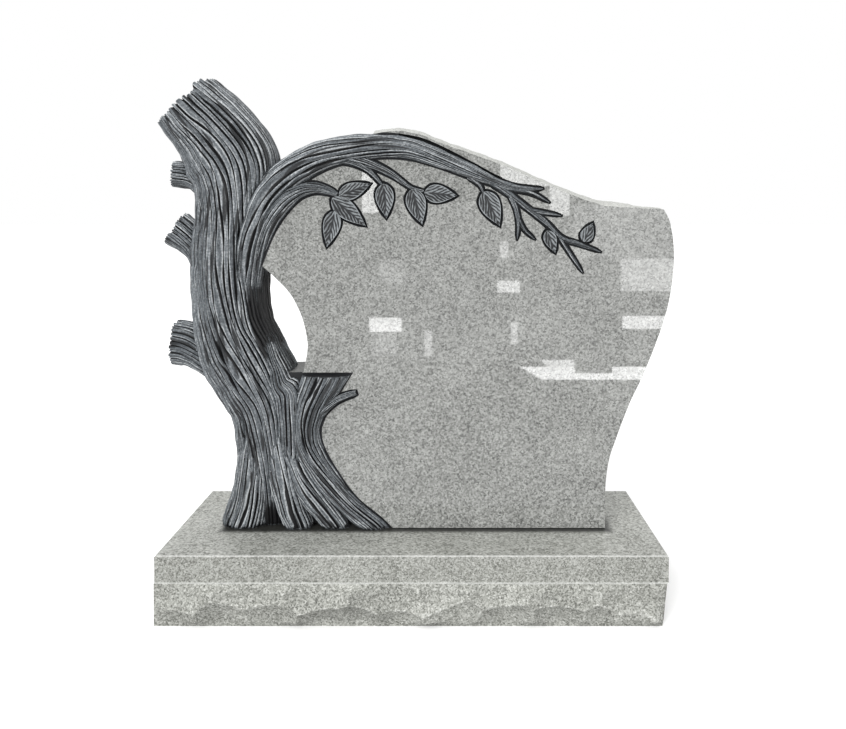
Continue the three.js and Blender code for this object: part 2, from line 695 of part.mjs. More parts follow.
// The base: four sides walked round in columns, each column a profile from the underside to the top. The
// pitched band's flakes stand out between its two straight edges, and the right end falls back downwards.
function base() {
  const halfWidth = BASE_WIDTH / 2;
  const halfDepth = BASE_DEPTH / 2;
  const bandTop = BASE_HEIGHT - BASE_MARGIN;
  const acrossSteps = 36;
  const depthSteps = 11;
  const corners = [
    [-halfWidth, -halfDepth, acrossSteps],
    [halfWidth, -halfDepth, depthSteps],
    [halfWidth, halfDepth, acrossSteps],
    [-halfWidth, halfDepth, depthSteps],
  ];
  const walk = corners.flatMap(([x, y, steps], side) => {
    const [nextX, nextY] = corners[(side + 1) % corners.length];
    return Array.from({ length: steps }, (_, i) => [
      x + ((nextX - x) * i) / steps,
      y + ((nextY - y) * i) / steps,
    ]);
  });
  const around = 2 * (BASE_WIDTH + BASE_DEPTH);
  const band = { length: around, height: bandTop, widths: BAND_FLAKES, swell: BAND_SWELL };
  const clamp = (value) => Math.min(Math.max(value, 0), 1);
  const standsOut = (along, x, y, z) => {
    const toCorner = Math.max(halfWidth - Math.abs(x), halfDepth - Math.abs(y));
    const ease = clamp(toCorner / BAND_EASE) * clamp(z / BAND_FOOT) * clamp((bandTop - z) / BAND_FOOT);
    return BAND_STEP + ease * (flakes(along, z, band) - BAND_STEP);
  };
  const middleRows = 4;
  const heights = [0, BAND_FOOT];
  for (let i = 1; i < middleRows; i++) {
    heights.push(BAND_FOOT + ((bandTop - 2 * BAND_FOOT) * i) / middleRows);
  }
  heights.push(bandTop - BAND_FOOT, bandTop - BAND_STEP, bandTop);
  heights.push(BASE_HEIGHT - BASE_ARRIS, BASE_HEIGHT);
  const rings = heights.map((z) =>
    walk.map(([x, y], column) => {
      const along = (column / walk.length) * around;
      const grow = z < bandTop ? standsOut(along, x, y, z) : z === BASE_HEIGHT ? -BASE_ARRIS : 0;
      const nearEnd = clamp((x - halfWidth) / BAND_EASE + 1);
      const fall = END_LEAN * nearEnd * clamp(1 - z / bandTop);
      return [x * (1 + grow / halfWidth) - fall, y * (1 + grow / halfDepth), z];
    }),
  );
  return skin(rings, [0, 0, 0], [0, 0, BASE_HEIGHT]);
}

// Turns a solid into a three.js mesh with flat faces.
function meshOf(name, body, material) {
  const { vertProperties, triVerts } = body.getMesh();
  const geometry = new THREE.BufferGeometry();
  geometry.setAttribute("position", new THREE.BufferAttribute(vertProperties, 3));
  geometry.setIndex(new THREE.BufferAttribute(triVerts, 1));
  const faceted = geometry.toNonIndexed();
  faceted.computeVertexNormals();
  const mesh = new THREE.Mesh(faceted, material);
  mesh.name = name;
  return mesh;
}

const polishedGranite = new THREE.MeshStandardMaterial({
  color: 0xa3a49f,
  roughness: 0.25,
  metalness: 0,
});
const pitchedGranite = new THREE.MeshStandardMaterial({
  color: 0xaeafa9,
  roughness: 0.8,
  metalness: 0,
});

const headstone = new THREE.Group();
headstone.add(meshOf("upright_stone", uprightStone(), polishedGranite));
headstone.add(meshOf("base_stone", base(), pitchedGranite));
export default headstone;
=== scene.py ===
# A granite headstone in two stones: a wide base with a rock-pitched band, and on it one carved block, a
# polished slab with a furrowed tree that arches over it. Metres, +Z up, the polished face towards -Y, the
# origin at the centre of the base's underside.
import math

import bpy
import numpy as np
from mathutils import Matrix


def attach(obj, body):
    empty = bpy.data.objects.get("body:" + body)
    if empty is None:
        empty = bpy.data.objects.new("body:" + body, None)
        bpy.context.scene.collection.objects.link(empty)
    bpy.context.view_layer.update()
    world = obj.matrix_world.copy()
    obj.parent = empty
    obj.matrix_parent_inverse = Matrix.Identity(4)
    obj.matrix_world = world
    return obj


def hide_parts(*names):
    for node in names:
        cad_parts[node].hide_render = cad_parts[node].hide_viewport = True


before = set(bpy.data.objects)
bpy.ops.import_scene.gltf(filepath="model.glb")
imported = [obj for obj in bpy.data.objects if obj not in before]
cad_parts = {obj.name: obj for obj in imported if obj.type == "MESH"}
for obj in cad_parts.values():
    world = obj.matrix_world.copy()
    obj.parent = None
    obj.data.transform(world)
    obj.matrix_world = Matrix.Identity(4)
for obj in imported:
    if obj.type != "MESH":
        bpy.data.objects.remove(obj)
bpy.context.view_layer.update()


# The base: one block of grey granite. Its top and upper margin are rubbed smooth, with an arris where
# they meet, painted pale as a highlight, like the small bevel at the band's top. Below the margin the stone
# is rock-pitched: struck off in broad shallow flakes that lean out to a wandering crest and fall back under
# it. Made as rows of points walked round the four sides.
MM = 0.001
BASE_HALF_WIDTH = 550 * MM
BASE_HALF_DEPTH = 175 * MM
BASE_HEIGHT = 150 * MM
BASE_MARGIN = 57 * MM
BASE_ARRIS = 2.5 * MM
BAND_TOP = BASE_HEIGHT - BASE_MARGIN
BAND_SWELL = 15 * MM
BAND_STEP = 2 * MM
BAND_EASE = 35 * MM
BAND_FOOT = 14 * MM
BAND_POINT_SPACING = 4 * MM
FLAKE_SPACINGS = (135 * MM, 100 * MM)
PITCHED_GRAIN = 0.4 * MM
# The right end leans in towards its foot, and the band's ends swell less than its front.
END_LEAN = 10 * MM
END_SHARE = 0.3
END_STEP = 4 * MM
GOLDEN = 0.618034


def linear(hex_colour):
    """The linear RGBA of an sRGB hex colour."""
    channels = [int(hex_colour[i : i + 2], 16) / 255 for i in (0, 2, 4)]
    return [c / 12.92 if c <= 0.04045 else ((c + 0.055) / 1.055) ** 2.4 for c in channels] + [1.0]


def add(tree, kind, inputs=None, **settings):
    """Adds a shader node, sets its properties and fills its inputs with values or other nodes' outputs."""
    made = tree.nodes.new(kind)
    for name, value in settings.items():
        setattr(made, name, value)
    for name, value in (inputs or {}).items():
        if isinstance(value, bpy.types.NodeSocket):
            tree.links.new(value, made.inputs[name])
        else:
            made.inputs[name].default_value = value
    return made


def ramp(tree, factor, stops, interpolation="LINEAR"):
    """A colour ramp through (position, hex colour) stops."""
    made = add(tree, "ShaderNodeValToRGB", {"Fac": factor})
    made.color_ramp.interpolation = interpolation
    points = made.color_ramp.elements
    while len(points) < len(stops):
        points.new(0.5)
    for point, (position, colour) in zip(points, stops):
        point.position = position
        point.color = linear(colour)
    return made.outputs["Color"]


def mix_colour(tree, factor, first, second):
    """A blend of two colours."""
    return add(tree, "ShaderNodeMix", {0: factor, 6: first, 7: second}, data_type="RGBA").outputs[2]


def calc(tree, operation, *values, kind="ShaderNodeMath"):
    """The result of a sum on up to three values or other nodes' outputs."""
    return add(tree, kind, dict(enumerate(values)), operation=operation).outputs[0]


def vector(tree, operation, *values):
    """The result of a sum on vectors."""
    return calc(tree, operation, *values, kind="ShaderNodeVectorMath")


def noise(tree, place, scale, detail):
    """Smooth noise between 0 and 1."""
    inputs = {"Vector": place, "Scale": scale, "Detail": detail}
    return add(tree, "ShaderNodeTexNoise", inputs).outputs["Fac"]


def attribute(tree, name):
    """The values of one of the mesh's own attributes."""
    return add(tree, "ShaderNodeAttribute", attribute_name=name).outputs["Fac"]


def between(tree, value, low, high, most=1.0, **settings):
    """How far a value is from low to high, as a share from 0 up to most."""
    inputs = {"Value": value, "From Min": low, "From Max": high, "To Max": most}
    return add(tree, "ShaderNodeMapRange", inputs, **settings).outputs[0]


def relief(tree, shader, height, distance, strength):
    """Gives a shader's surface a fine grain."""
    bump = add(tree, "ShaderNodeBump", {"Height": height, "Distance": distance, "Strength": strength})
    tree.links.new(bump.outputs[0], shader.inputs["Normal"])


def new_material(name, kind="ShaderNodeBsdfPrincipled"):
    """A node material with nothing but its shader."""
    material = bpy.data.materials.new(name)
    material.use_nodes = True
    tree = material.node_tree
    tree.nodes.clear()
    shader = add(tree, kind)
    add(tree, "ShaderNodeOutputMaterial", {"Surface": shader.outputs[0]})
    return material, tree, shader


CLOUD_SIZE = 90 * MM
BRUISE_SIZE = 20 * MM


def granite(name, tones, crystal, roughness, grain_relief, mottle, crest=False, foot_shadow=None):
    """Fine grey granite: dark and pale crystals, with cloudy patches a hand wide. Broken stone is bruised
    pale along its crests. A painted shadow can lie round a block's foot: its middle, its half sides and its
    reach."""
    material, tree, shader = new_material(name)
    place = add(tree, "ShaderNodeTexCoord").outputs["Object"]
    crystals = add(tree, "ShaderNodeTexVoronoi", {"Vector": place, "Scale": 1 / crystal})
    tone = add(tree, "ShaderNodeSeparateColor", {"Color": crystals.outputs["Color"]}).outputs["Red"]
    fine = noise(tree, place, 0.6 / crystal, 3.0)
    blend = calc(tree, "MULTIPLY_ADD", fine, 0.5, calc(tree, "MULTIPLY", tone, 0.5))
    cloud = calc(tree, "SUBTRACT", noise(tree, place, 1 / CLOUD_SIZE, 4.0), 0.5)
    blend = calc(tree, "MULTIPLY_ADD", cloud, mottle, blend)
    if crest:
        bruise = noise(tree, place, 1 / BRUISE_SIZE, 3.0)
        near = calc(tree, "MULTIPLY", attribute(tree, "crest"), bruise)
        blend = calc(tree, "MULTIPLY_ADD", near, 0.5, blend)
    colour = ramp(tree, blend, tones)
    # Painted shadow: the colour darkens towards the block's foot, darkest right next to it.
    if foot_shadow:
        middle, half, reach = foot_shadow
        aside = vector(tree, "ABSOLUTE", vector(tree, "SUBTRACT", place, middle))
        aside = add(tree, "ShaderNodeSeparateXYZ", {0: vector(tree, "SUBTRACT", aside, half)})
        away = calc(tree, "MAXIMUM", aside.outputs["X"], aside.outputs["Y"])
        foot_shadow_share = between(tree, away, reach, 0.3 * reach, 0.93, interpolation_type="SMOOTHSTEP")
        colour = mix_colour(tree, foot_shadow_share, colour, linear("171815"))
    tree.links.new(colour, shader.inputs["Base Color"])
    shader.inputs["Roughness"].default_value = roughness
    if grain_relief:
        relief(tree, shader, fine, grain_relief, 0.6)
    return material


# The crystals are drawn coarser than the real ones, a millimetre or two, so that they show in the render.
POLISHED_CRYSTAL = 3.3 * MM
CUT_CRYSTAL = 2.7 * MM
TOP_CRYSTAL = 3.7 * MM
POLISHED_TONES = [(0.15, "4f504e"), (0.35, "7a7b78"), (0.5, "8f908d"), (0.65, "9fa09d"), (0.85, "b6b7b4")]
RUBBED_TONES = [(0.15, "50514c"), (0.35, "82837d"), (0.5, "9a9b95"), (0.65, "acada8"), (0.85, "c9cac5")]
# Darker granite tones for painted shade.
PAINTED_SHADE_TONES = [(0.15, "3e3f3e"), (0.5, "686967"), (0.85, "8a8b88")]
TOP_TONES = [(0.2, "6a6b65"), (0.38, "8f908a"), (0.5, "a1a29c"), (0.62, "aeafaa"), (0.8, "c3c4bf")]
PITCHED_TONES = [(0.15, "565752"), (0.35, "858680"), (0.5, "9c9d97"), (0.65, "b2b3ad"), (0.9, "d8d9d4")]
# Pale tones for bruised broken stone, and for the painted highlight on the base's arris and bevel.
BRUISED_AND_HIGHLIGHT_TONES = [(0.15, "9c9d99"), (0.5, "b8b9b5"), (0.85, "cfd0cc")]
# A painted shadow on the base round the upright stone's foot: middle, half sides, reach.
PAINTED_FOOT_SHADOW = ((3 * MM, 19 * MM, 0), (434 * MM, 65 * MM, 1), 28 * MM)
RUBBED_GRAIN = 0.2 * MM
rubbed_granite = granite("rubbed_granite", RUBBED_TONES, CUT_CRYSTAL, 0.42, RUBBED_GRAIN, 0.3)
rubbed_top = granite("rubbed_top", TOP_TONES, TOP_CRYSTAL, 0.42, RUBBED_GRAIN, 0.3, foot_shadow=PAINTED_FOOT_SHADOW)
pitched_granite = granite("pitched_granite", PITCHED_TONES, CUT_CRYSTAL, 0.85, 1.1 * MM, 0.4, crest=True)
bruised_and_highlight_granite = granite("bruised_and_highlight_granite", BRUISED_AND_HIGHLIGHT_TONES, CUT_CRYSTAL, 0.85, 0.5 * MM, 0.3)


def mesh_object(name, points, faces, materials, face_materials=None):
    """A mesh object from points and faces, at the origin."""
    mesh = bpy.data.meshes.new(name)
    mesh.from_pydata(np.asarray(points).tolist(), [], faces)
    for material in materials:
        mesh.materials.append(material)
    if face_materials is not None:
        mesh.polygons.foreach_set("material_index", np.asarray(face_materials, dtype=np.int32))
    made = bpy.data.objects.new(name, mesh)
    bpy.context.collection.objects.link(made)
    return made


def set_layer(made, name, values):
    """Writes one number for each of a mesh's points as an attribute."""
    layer = made.data.attributes.new(name, "FLOAT", "POINT")
    layer.data.foreach_set("value", np.ascontiguousarray(values).reshape(-1))


def ring_quads(rings, sides):
    """Quads between rings of points, each closed on itself."""
    i = np.arange(rings - 1)[:, None] * sides
    j = np.arange(sides)[None, :]
    k = (j + 1) % sides
    return np.stack([i + j, i + k, i + sides + k, i + sides + j], -1).reshape(-1, 4).tolist()


def flakes(along, up, length, height, upper_spacing, lower_spacing, swell):
    """How far broken stone stands out: out = min over flakes k of (b_k + g_k ds + h_k dz + (ds2 + 2 dz2) /
    2R_k), with the upper flakes leaning out downwards and the lower ones falling back; and how near a point
    is to the crest between two flakes, from 0 to 1."""
    out = np.full(np.broadcast(along, up).shape, 1.0)
    second = out.copy()
    for spacing, level, lean in ((upper_spacing, 0.7, -0.16), (lower_spacing, 0.34, 0.34)):
        count = int(length / spacing)
        for k in range(count):
            chance = [(k * GOLDEN * (n + 1) + 0.37 * n) % 1 - 0.5 for n in range(5)]
            centre = (k + 0.5 + 0.7 * chance[0]) * length / count
            ds = (along - centre + length / 2) % length - length / 2
            dz = up - (level + 0.3 * chance[1]) * height
            radius = spacing * (1.5 + 1.2 * chance[2])
            bowl = (ds**2 + 2 * dz**2) / (2 * radius)
            tilt = 0.16 * chance[3] * ds + lean * (1 + chance[4]) * dz
            flake = swell * (0.45 + 0.5 * chance[1]) + tilt + bowl
            second = np.minimum(second, np.maximum(out, flake))
            out = np.minimum(out, flake)
    return out, np.exp(-(second - out) / (0.8 * MM))


def wrinkle(x, y, z, scale, seed):
    """A cheap smooth unevenness from -1 to 1: three crossed sine waves about scale long."""
    a = 2 * np.pi / scale
    return (
        np.sin(a * (x + 0.7 * z) + seed)
        + np.sin(a * (0.6 * x - y - 0.8 * z) * 1.7 + 2.1 * seed)
        + np.sin(a * (0.5 * x + 1.1 * y + z) * 2.9 + 3.7 * seed)
    ) / 3


def base_stone():
    """Rows of points from the underside to the top, each walked round the block."""
    corners = np.array([(-1, -1), (1, -1), (1, 1), (-1, 1)]) * (BASE_HALF_WIDTH, BASE_HALF_DEPTH)
    walk = []
    for start, end in zip(corners, np.roll(corners, -1, axis=0)):
        steps = int(np.abs(end - start).max() / BAND_POINT_SPACING)
        share = (np.arange(steps) / steps)[:, None]
        walk.append(start + (end - start) * share)
    walk = np.concatenate(walk)
    around = 4 * (BASE_HALF_WIDTH + BASE_HALF_DEPTH)
    along = np.arange(len(walk)) / len(walk) * around
    band_rows = np.append(np.linspace(0, BAND_TOP - BAND_STEP, 26), BAND_TOP)
    heights = np.concatenate([band_rows, [BASE_HEIGHT - BASE_ARRIS, BASE_HEIGHT]])
    out = np.zeros((len(heights), len(walk)))
    crest = np.zeros_like(out)
    z = band_rows[:-1, None]
    broken, near_crest = flakes(along[None, :], z, around, BAND_TOP, *FLAKE_SPACINGS, BAND_SWELL)
    broken += PITCHED_GRAIN * wrinkle(along[None, :], 0, z, 0.021, 1.3)
    to_corner = np.maximum(BASE_HALF_WIDTH - np.abs(walk[:, 0]), BASE_HALF_DEPTH - np.abs(walk[:, 1]))
    ease = np.clip(to_corner / BAND_EASE, 0, 1) * np.clip(z / BAND_FOOT, 0, 1)
    ease = ease * np.clip((BAND_TOP - z) / BAND_FOOT, 0, 1)
    out[: len(z)] = BAND_STEP + ease * (broken - BAND_STEP)
    crest[: len(z)] = near_crest * ease
    out[-1] = -BASE_ARRIS
    points = np.empty((len(heights), len(walk), 3))
    points[..., 0] = walk[:, 0] * (1 + END_SHARE * out / BASE_HALF_WIDTH)
    points[-1, :, 0] = walk[:, 0] * (1 - BASE_ARRIS / BASE_HALF_WIDTH)
    points[..., 1] = walk[:, 1] * (1 + out / BASE_HALF_DEPTH)
    points[..., 2] = heights[:, None]
    near_end = np.clip((walk[:, 0] - BASE_HALF_WIDTH) / BAND_EASE + 1, 0, 1)
    below = np.clip(1 - heights[:, None] / BAND_TOP, 0, 1)
    points[..., 0] -= near_end * (END_LEAN * below + END_STEP * (heights[:, None] < BAND_TOP))
    count = len(walk)
    top = list(range((len(heights) - 1) * count, len(heights) * count))
    faces = ring_quads(len(heights), count) + [list(range(count - 1, -1, -1)), top]
    pitched = (len(z) - 1) * count
    # The bevel at the band's top and the arris round the top take the pale tones: a painted highlight.
    face_materials = [1] * pitched + [2] * count + [0] * count + [2] * count + [0, 3]
    made = mesh_object("granite_base", points.reshape(-1, 3), faces,
                       [rubbed_granite, pitched_granite, bruised_and_highlight_granite, rubbed_top], face_materials)
    set_layer(made, "crest", crest)
    made.data.shade_smooth()
    made.data.set_sharp_from_angle(angle=math.radians(22))
    return made


base = base_stone()
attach(base, "root")
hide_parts("base_stone")

# The upright stone: one block of the same granite, 130 mm thick. The slab's front and back are polished,
# its top is rock-pitched, and the tree's bark is cut in strands, painted black in the furrows, rubbed blue-grey
# on the ridges, and given painted shade on the limbs' sides and feet. The tree's limbs and leaves are meshes
# of their own, joined into the slab's.
STONE_HEIGHT = 1060 * MM
SLAB_THICKNESS = 130 * MM
FACE_Y = -46 * MM
MID_Y = FACE_Y + SLAB_THICKNESS / 2
FOOT = BASE_HEIGHT + 0.3 * MM
UNIT = STONE_HEIGHT / 100
FOOT_ARRIS_DEPTH = 3 * MM
FOOT_ARRIS_HEIGHT = 2 * MM
CROWN_RISE = 13 * MM
CROWN_FADE = (560 * MM, 80 * MM)
OUTLINE_WIDTH = 5 * MM
OUTLINE_DEPTH = 6 * MM

# The carving is drawn in hundredths of the stone's height, across from the base's centre and up from the
# foot, with depths in halves of the slab: 1 is the face and -1 the back. Here are the stations of each limb
# from its root to its end: across, up, half width, front, back.
TRUNK = [
    (-35.0, -4, 8.4, 0.7, -1.2), (-34.0, 4, 7.3, 0.95, -1.25), (-33.5, 12, 6.7, 1.2, -1.3),
    (-33.7, 19, 6.8, 1.35, -1.36), (-34.5, 26, 7.2, 1.4, -1.4), (-37.0, 32, 8.4, 1.42, -1.42),
    (-39.5, 38, 9.2, 1.42, -1.42), (-41.2, 44, 8.5, 1.42, -1.42), (-41.9, 51, 8.4, 1.42, -1.42),
    (-41.9, 60, 8.4, 1.42, -1.42), (-41.0, 69, 8.3, 1.42, -1.42), (-40.5, 75, 9.1, 1.44, -1.42),
    (-40.9, 79.2, 10.2, 1.44, -1.4), (-42.3, 82.9, 10.1, 1.42, -1.38), (-45.2, 87.5, 9.2, 1.4, -1.34),
    (-48.6, 91.3, 8.6, 1.32, -1.24), (-51.6, 94.6, 8.0, 1.25, -1.15),
]
BRANCH = [
    (-38.4, 38, 3.0, 0.7, -0.7), (-37.6, 48, 3.2, 1.0, -1.0), (-37.0, 56, 3.3, 1.22, -1.1),
    (-35.6, 64.0, 3.6, 1.38, -1.2), (-32.6, 71.8, 3.9, 1.42, -1.26), (-28.0, 77.2, 4.1, 1.42, -1.26),
    (-22.0, 81.0, 3.9, 1.4, -1.24), (-15.4, 83.0, 3.5, 1.34, -1.18), (-7.7, 83.8, 3.0, 1.28, -0.6),
    (-1.1, 83.3, 2.4, 1.22, 0.4), (5.5, 81.1, 1.9, 1.18, 0.72), (12.1, 78.4, 1.6, 1.14, 0.76),
    (17.6, 76, 1.0, 1.1, 0.76), (21.6, 74.8, 0.7, 1.07, 0.76), (25.6, 74.5, 0.45, 1.05, 0.76),
    (27.9, 74.6, 0.15, 1.03, 0.76),
]
INNER_BOUGH = [
    (-37.0, 50, 2.2, 0.9, 0.2), (-35.2, 59.0, 2.4, 1.1, 0.3), (-32.8, 66.0, 2.5, 1.26, 0.4),
    (-29.2, 71.2, 2.4, 1.32, 0.45), (-25.4, 73.9, 1.8, 1.26, 0.5), (-21.8, 74.7, 1.3, 1.16, 0.66),
    (-18.8, 74.1, 0.9, 1.1, 0.76), (-16.8, 73.2, 0.5, 1.06, 0.76),
]
STUMP = [
    (-5.4, -4, 3.1, 1.12, 0.3), (-8.8, 0, 2.8, 1.18, 0.3), (-14.4, 4.9, 2.6, 1.2, 0.3),
    (-19.3, 10.6, 3.1, 1.24, 0.3), (-23.0, 16.8, 3.3, 1.3, 0.3), (-23.9, 21.6, 3.3, 1.34, 0.3),
    (-23.1, 26, 3.7, 1.38, 0.3), (-21.5, 29.9, 4.2, 1.4, 0.4), (-19.9, 33.3, 4.7, 1.4, 0.5),
    (-18.4, 37, 5.4, 1.4, 0.5),
]
STUMP_TOP = 33.8
STUMP_CUT = 6 * MM
BRANCH_BOW = 0.75
WEB = [
    (-33.6, 42, 2.0, 0.8, -1.0), (-31.9, 37.5, 2.4, 1.05, -1.1), (-30.4, 34.6, 2.6, 1.2, -1.15),
    (-29.5, 31.6, 3.7, 1.28, -1.15), (-28.0, 29.8, 4.7, 1.3, -1.15), (-27.7, 27, 4.5, 1.3, -1.15),
    (-27.3, 22, 4.4, 1.28, -1.15), (-27.4, 15, 4.3, 1.18, -1.15),
    (-27.8, 7, 3.9, 0.85, -1.1), (-27.9, -3, 3.8, 0.55, -1.0),
]
STUMP_SPUR = [
    (-21.6, 24.8, 1.3, 1.22, 0.7), (-19.0, 27.1, 1.0, 1.22, 0.75), (-16.4, 28.7, 0.75, 1.16, 0.76),
    (-12.8, 29.9, 0.55, 1.1, 0.76),
]
STUBS = [
    [(-43.0, 72.2, 3.0, 0.7, -0.7), (-47.6, 75.8, 3.0, 0.62, -0.62), (-50.4, 77.6, 3.0, 0.6, -0.6),
     (-54.9, 78.2, 3.0, 0.6, -0.6)],
    [(-45.6, 51.5, 2.6, 0.8, -0.8), (-46.9, 57, 3.2, 0.85, -0.85), (-48.7, 61.0, 3.4, 0.85, -0.85),
     (-51.3, 63.7, 3.8, 0.8, -0.8), (-54.4, 65.9, 4.1, 0.7, -0.7)],
    [(-40.5, 27.0, 2.6, 0.8, -0.8), (-42.7, 32.5, 3.2, 0.9, -0.9), (-46.9, 37.0, 4.3, 0.9, -0.9),
     (-50.9, 39.4, 4.9, 0.85, -0.85), (-54.8, 40.0, 5.1, 0.75, -0.75)],
]
ROOTS = [
    [(-34.8, 20, 4.4, 1.2, -1.2), (-35.9, 11.5, 4.4, 1.24, -1.24), (-36.6, 5.6, 4.9, 1.2, -1.24),
     (-38.1, 0, 5.6, 1.08, -1.26), (-39.1, -4, 5.8, 1.04, -1.26)],
    [(-31.0, 20, 3.2, 1.2, 0.1), (-29.0, 11.2, 3.3, 1.3, 0.1), (-27.2, 4.5, 3.3, 1.24, 0.1),
     (-25.7, 0, 3.3, 1.14, 0.1), (-25.0, -4, 3.4, 1.1, 0.1)],
    [(-28.4, 18, 2.2, 1.15, 0.2), (-25.7, 12, 2.4, 1.28, 0.2), (-22.7, 7, 2.8, 1.24, 0.2),
     (-19.6, 3, 2.8, 1.16, 0.2), (-17.4, 0, 2.7, 1.12, 0.2), (-15.6, -4, 2.8, 1.1, 0.2)],
    [(-33.8, 18, 3.6, 0.2, -1.25), (-33.6, 9, 3.8, 0.2, -1.36), (-34.6, 0, 4.4, 0.2, -1.42),
     (-35.0, -4, 4.6, 0.2, -1.42)],
    [(-31.0, 18, 3.2, 0.2, -1.18), (-28.0, 9, 3.4, 0.2, -1.28), (-24.4, 0, 3.8, 0.2, -1.34),
     (-23.0, -4, 4.0, 0.2, -1.34)],
]
TWIGS = [
    [(-18.0, 81.0, 0.8, 1.12, 0.7), (-13.6, 80.3, 0.75, 1.1, 0.7), (-10.0, 78.5, 0.5, 1.07, 0.76),
     (-7.1, 75.4, 0.3, 1.04, 0.76)],
    [(-17.0, 81.8, 1.1, 1.16, 0.6), (-12.0, 80.8, 1.1, 1.16, 0.6), (-6.6, 78.6, 0.8, 1.1, 0.76),
     (-3.2, 76.5, 0.5, 1.07, 0.76), (-0.8, 74.8, 0.35, 1.05, 0.76), (2.0, 74.0, 0.25, 1.04, 0.76)],
    [(11.8, 77.3, 0.6, 1.08, 0.76), (14.2, 75.4, 0.4, 1.05, 0.76), (15.0, 73.8, 0.25, 1.04, 0.76)],
    [(20.2, 74.5, 0.4, 1.05, 0.76), (25.2, 73.7, 0.45, 1.05, 0.76), (29.3, 71.6, 0.12, 1.03, 0.76)],
    [(16.8, 75.8, 0.65, 1.07, 0.76), (20.6, 73.4, 0.65, 1.06, 0.76), (25.8, 69.4, 0.55, 1.06, 0.76),
     (29.0, 66.8, 0.55, 1.06, 0.76), (32.2, 63.8, 0.45, 1.05, 0.76), (36.2, 62.4, 0.4, 1.05, 0.76),
     (40.5, 60.8, 0.12, 1.03, 0.76)],
    [(31.0, 64.8, 0.4, 1.05, 0.76), (33.9, 60.5, 0.35, 1.05, 0.76), (36.6, 56.4, 0.12, 1.03, 0.76)],
    [(25.2, 69.8, 0.4, 1.05, 0.76), (28.6, 69.3, 0.35, 1.05, 0.76), (31.9, 68.7, 0.12, 1.03, 0.76)],
    [(20.8, 73.2, 0.5, 1.05, 0.76), (22.2, 70.0, 0.45, 1.05, 0.76), (22.7, 67.0, 0.4, 1.05, 0.76),
     (22.4, 63.6, 0.12, 1.03, 0.76)],
    [(22.6, 68.4, 0.3, 1.05, 0.76), (24.0, 65.6, 0.3, 1.05, 0.76), (26.2, 63.6, 0.12, 1.03, 0.76)],
]
# Each leaf's base, tip and half width.
LEAVES = [
    ((-16.4, 73.0), (-9.5, 75.6), 1.75), ((-17.9, 72.5), (-10.6, 66.4), 2.0),
    ((-17.3, 69.7), (-19.1, 61.8), 1.85), ((-6.7, 75.6), (-6.1, 68.1), 1.95),
    ((-0.5, 74.5), (1.7, 66.7), 2.1), ((2.2, 73.7), (9.3, 73.0), 1.95),
    ((15.1, 73.9), (18.6, 66.4), 2.2), ((28.9, 65.4), (30.7, 60.6), 1.35),
    ((36.9, 63.0), (38.8, 67.0), 1.35),
]
BRANCH_HOLLOW = [
    (-3.4, 86.3, 0.3, 1.05, 0.8), (1.6, 84.9, 0.7, 1.05, 0.8), (6.8, 82.6, 0.75, 1.05, 0.8),
    (11.8, 80.1, 0.65, 1.05, 0.8), (15.8, 78.1, 0.45, 1.05, 0.8), (19.0, 76.9, 0.15, 1.05, 0.8),
]
BRANCH_HOLLOW_DEPTH = 12 * MM
ROOT_RECESS = [(-36, -1), (-9.5, -1), (-12.5, 2), (-17, 6), (-21, 11), (-24, 17), (-30, 17), (-36, 12)]
RECESS_DEPTH = 30 * MM
CROTCH = [(-24.7, 34.7), (-29, 34.7), (-29, 25), (-24.5, 25), (-24.3, 31.5)]
CROTCH_DEPTH = 9 * MM
RIGHT_EDGE = [
    (41.8, 0), (41.8, 8), (42.5, 14.6), (44.1, 19.8), (47.1, 27.7), (49.6, 33.0), (52.8, 40.9),
    (55.3, 48.8), (56.5, 56.7), (56.5, 62.5), (55.7, 67.2), (54.2, 70.3),
]
UNDER_BRANCH = [(-9.0, 84.0), (-15.3, 82.6), (-22.4, 80.2), (-28.1, 76.0), (-32.4, 70.3), (-35.0, 64.4)]
HOLE_EDGE = [
    (-38.4, 60.6), (-34.6, 58.7), (-30.7, 55.4), (-27.0, 51.4), (-24.5, 46.2), (-23.4, 40.9),
    (-23.7, 37.3),
]
LEDGE = [(-24.3, 34.3), (-32.5, 34.1), (-32.5, 0)]
TOP_LINE = [
    (-42, 82), (-28, 82), (-16, 84.0), (-9, 86.4), (-3, 87.0), (2, 86.0), (5.5, 84.5), (18.5, 79.9),
    (27.4, 76.0), (34.2, 73.2), (41, 70.9), (47, 70.4), (53, 70.2), (60, 69.8),
]


def spline(rows, count):
    """count rows of a Catmull-Rom curve through the rows given, evenly spaced in their index."""
    rows = np.asarray(rows, dtype=float)
    last = len(rows) - 1
    index = np.linspace(0, last, count)
    i = np.minimum(index.astype(int), last - 1)
    t = (index - i)[:, None]
    a, b, c, d = (rows[np.clip(i + k, 0, last)] for k in (-1, 0, 1, 2))
    slope, after, rise = (c - a) / 2, (d - b) / 2, c - b
    return b + t * (slope + t * (3 * rise - 2 * slope - after + t * (slope + after - 2 * rise)))


def path(rows, spacing):
    """A limb's rows at even spacing along it, with their tangents and distances from the root."""
    dense = spline(rows, 60 * len(rows))
    step = np.hypot(np.diff(dense[:, 0]), np.diff(dense[:, 1])) * UNIT
    run = np.concatenate([[0], np.cumsum(step)])
    count = max(int(run[-1] / spacing) + 1, 3)
    at = np.linspace(0, run[-1], count)
    even = np.stack([np.interp(at, run, column) for column in dense.T], -1)
    slope = np.gradient(even[:, :2], axis=0)
    slope /= np.linalg.norm(slope, axis=1, keepdims=True)
    return even, slope, at


def bowed(value, bow):
    """The sine or cosine of a squared-off oval."""
    return np.sign(value) * np.abs(value) ** bow


def tube_faces(rings, sides):
    """Quads between rings, and a fan onto a middle point at each end."""
    first = rings * sides
    end = (rings - 1) * sides
    fans = [[first, (n + 1) % sides, n] for n in range(sides)]
    fans += [[first + 1, end + n, end + (n + 1) % sides] for n in range(sides)]
    return ring_quads(rings, sides) + fans


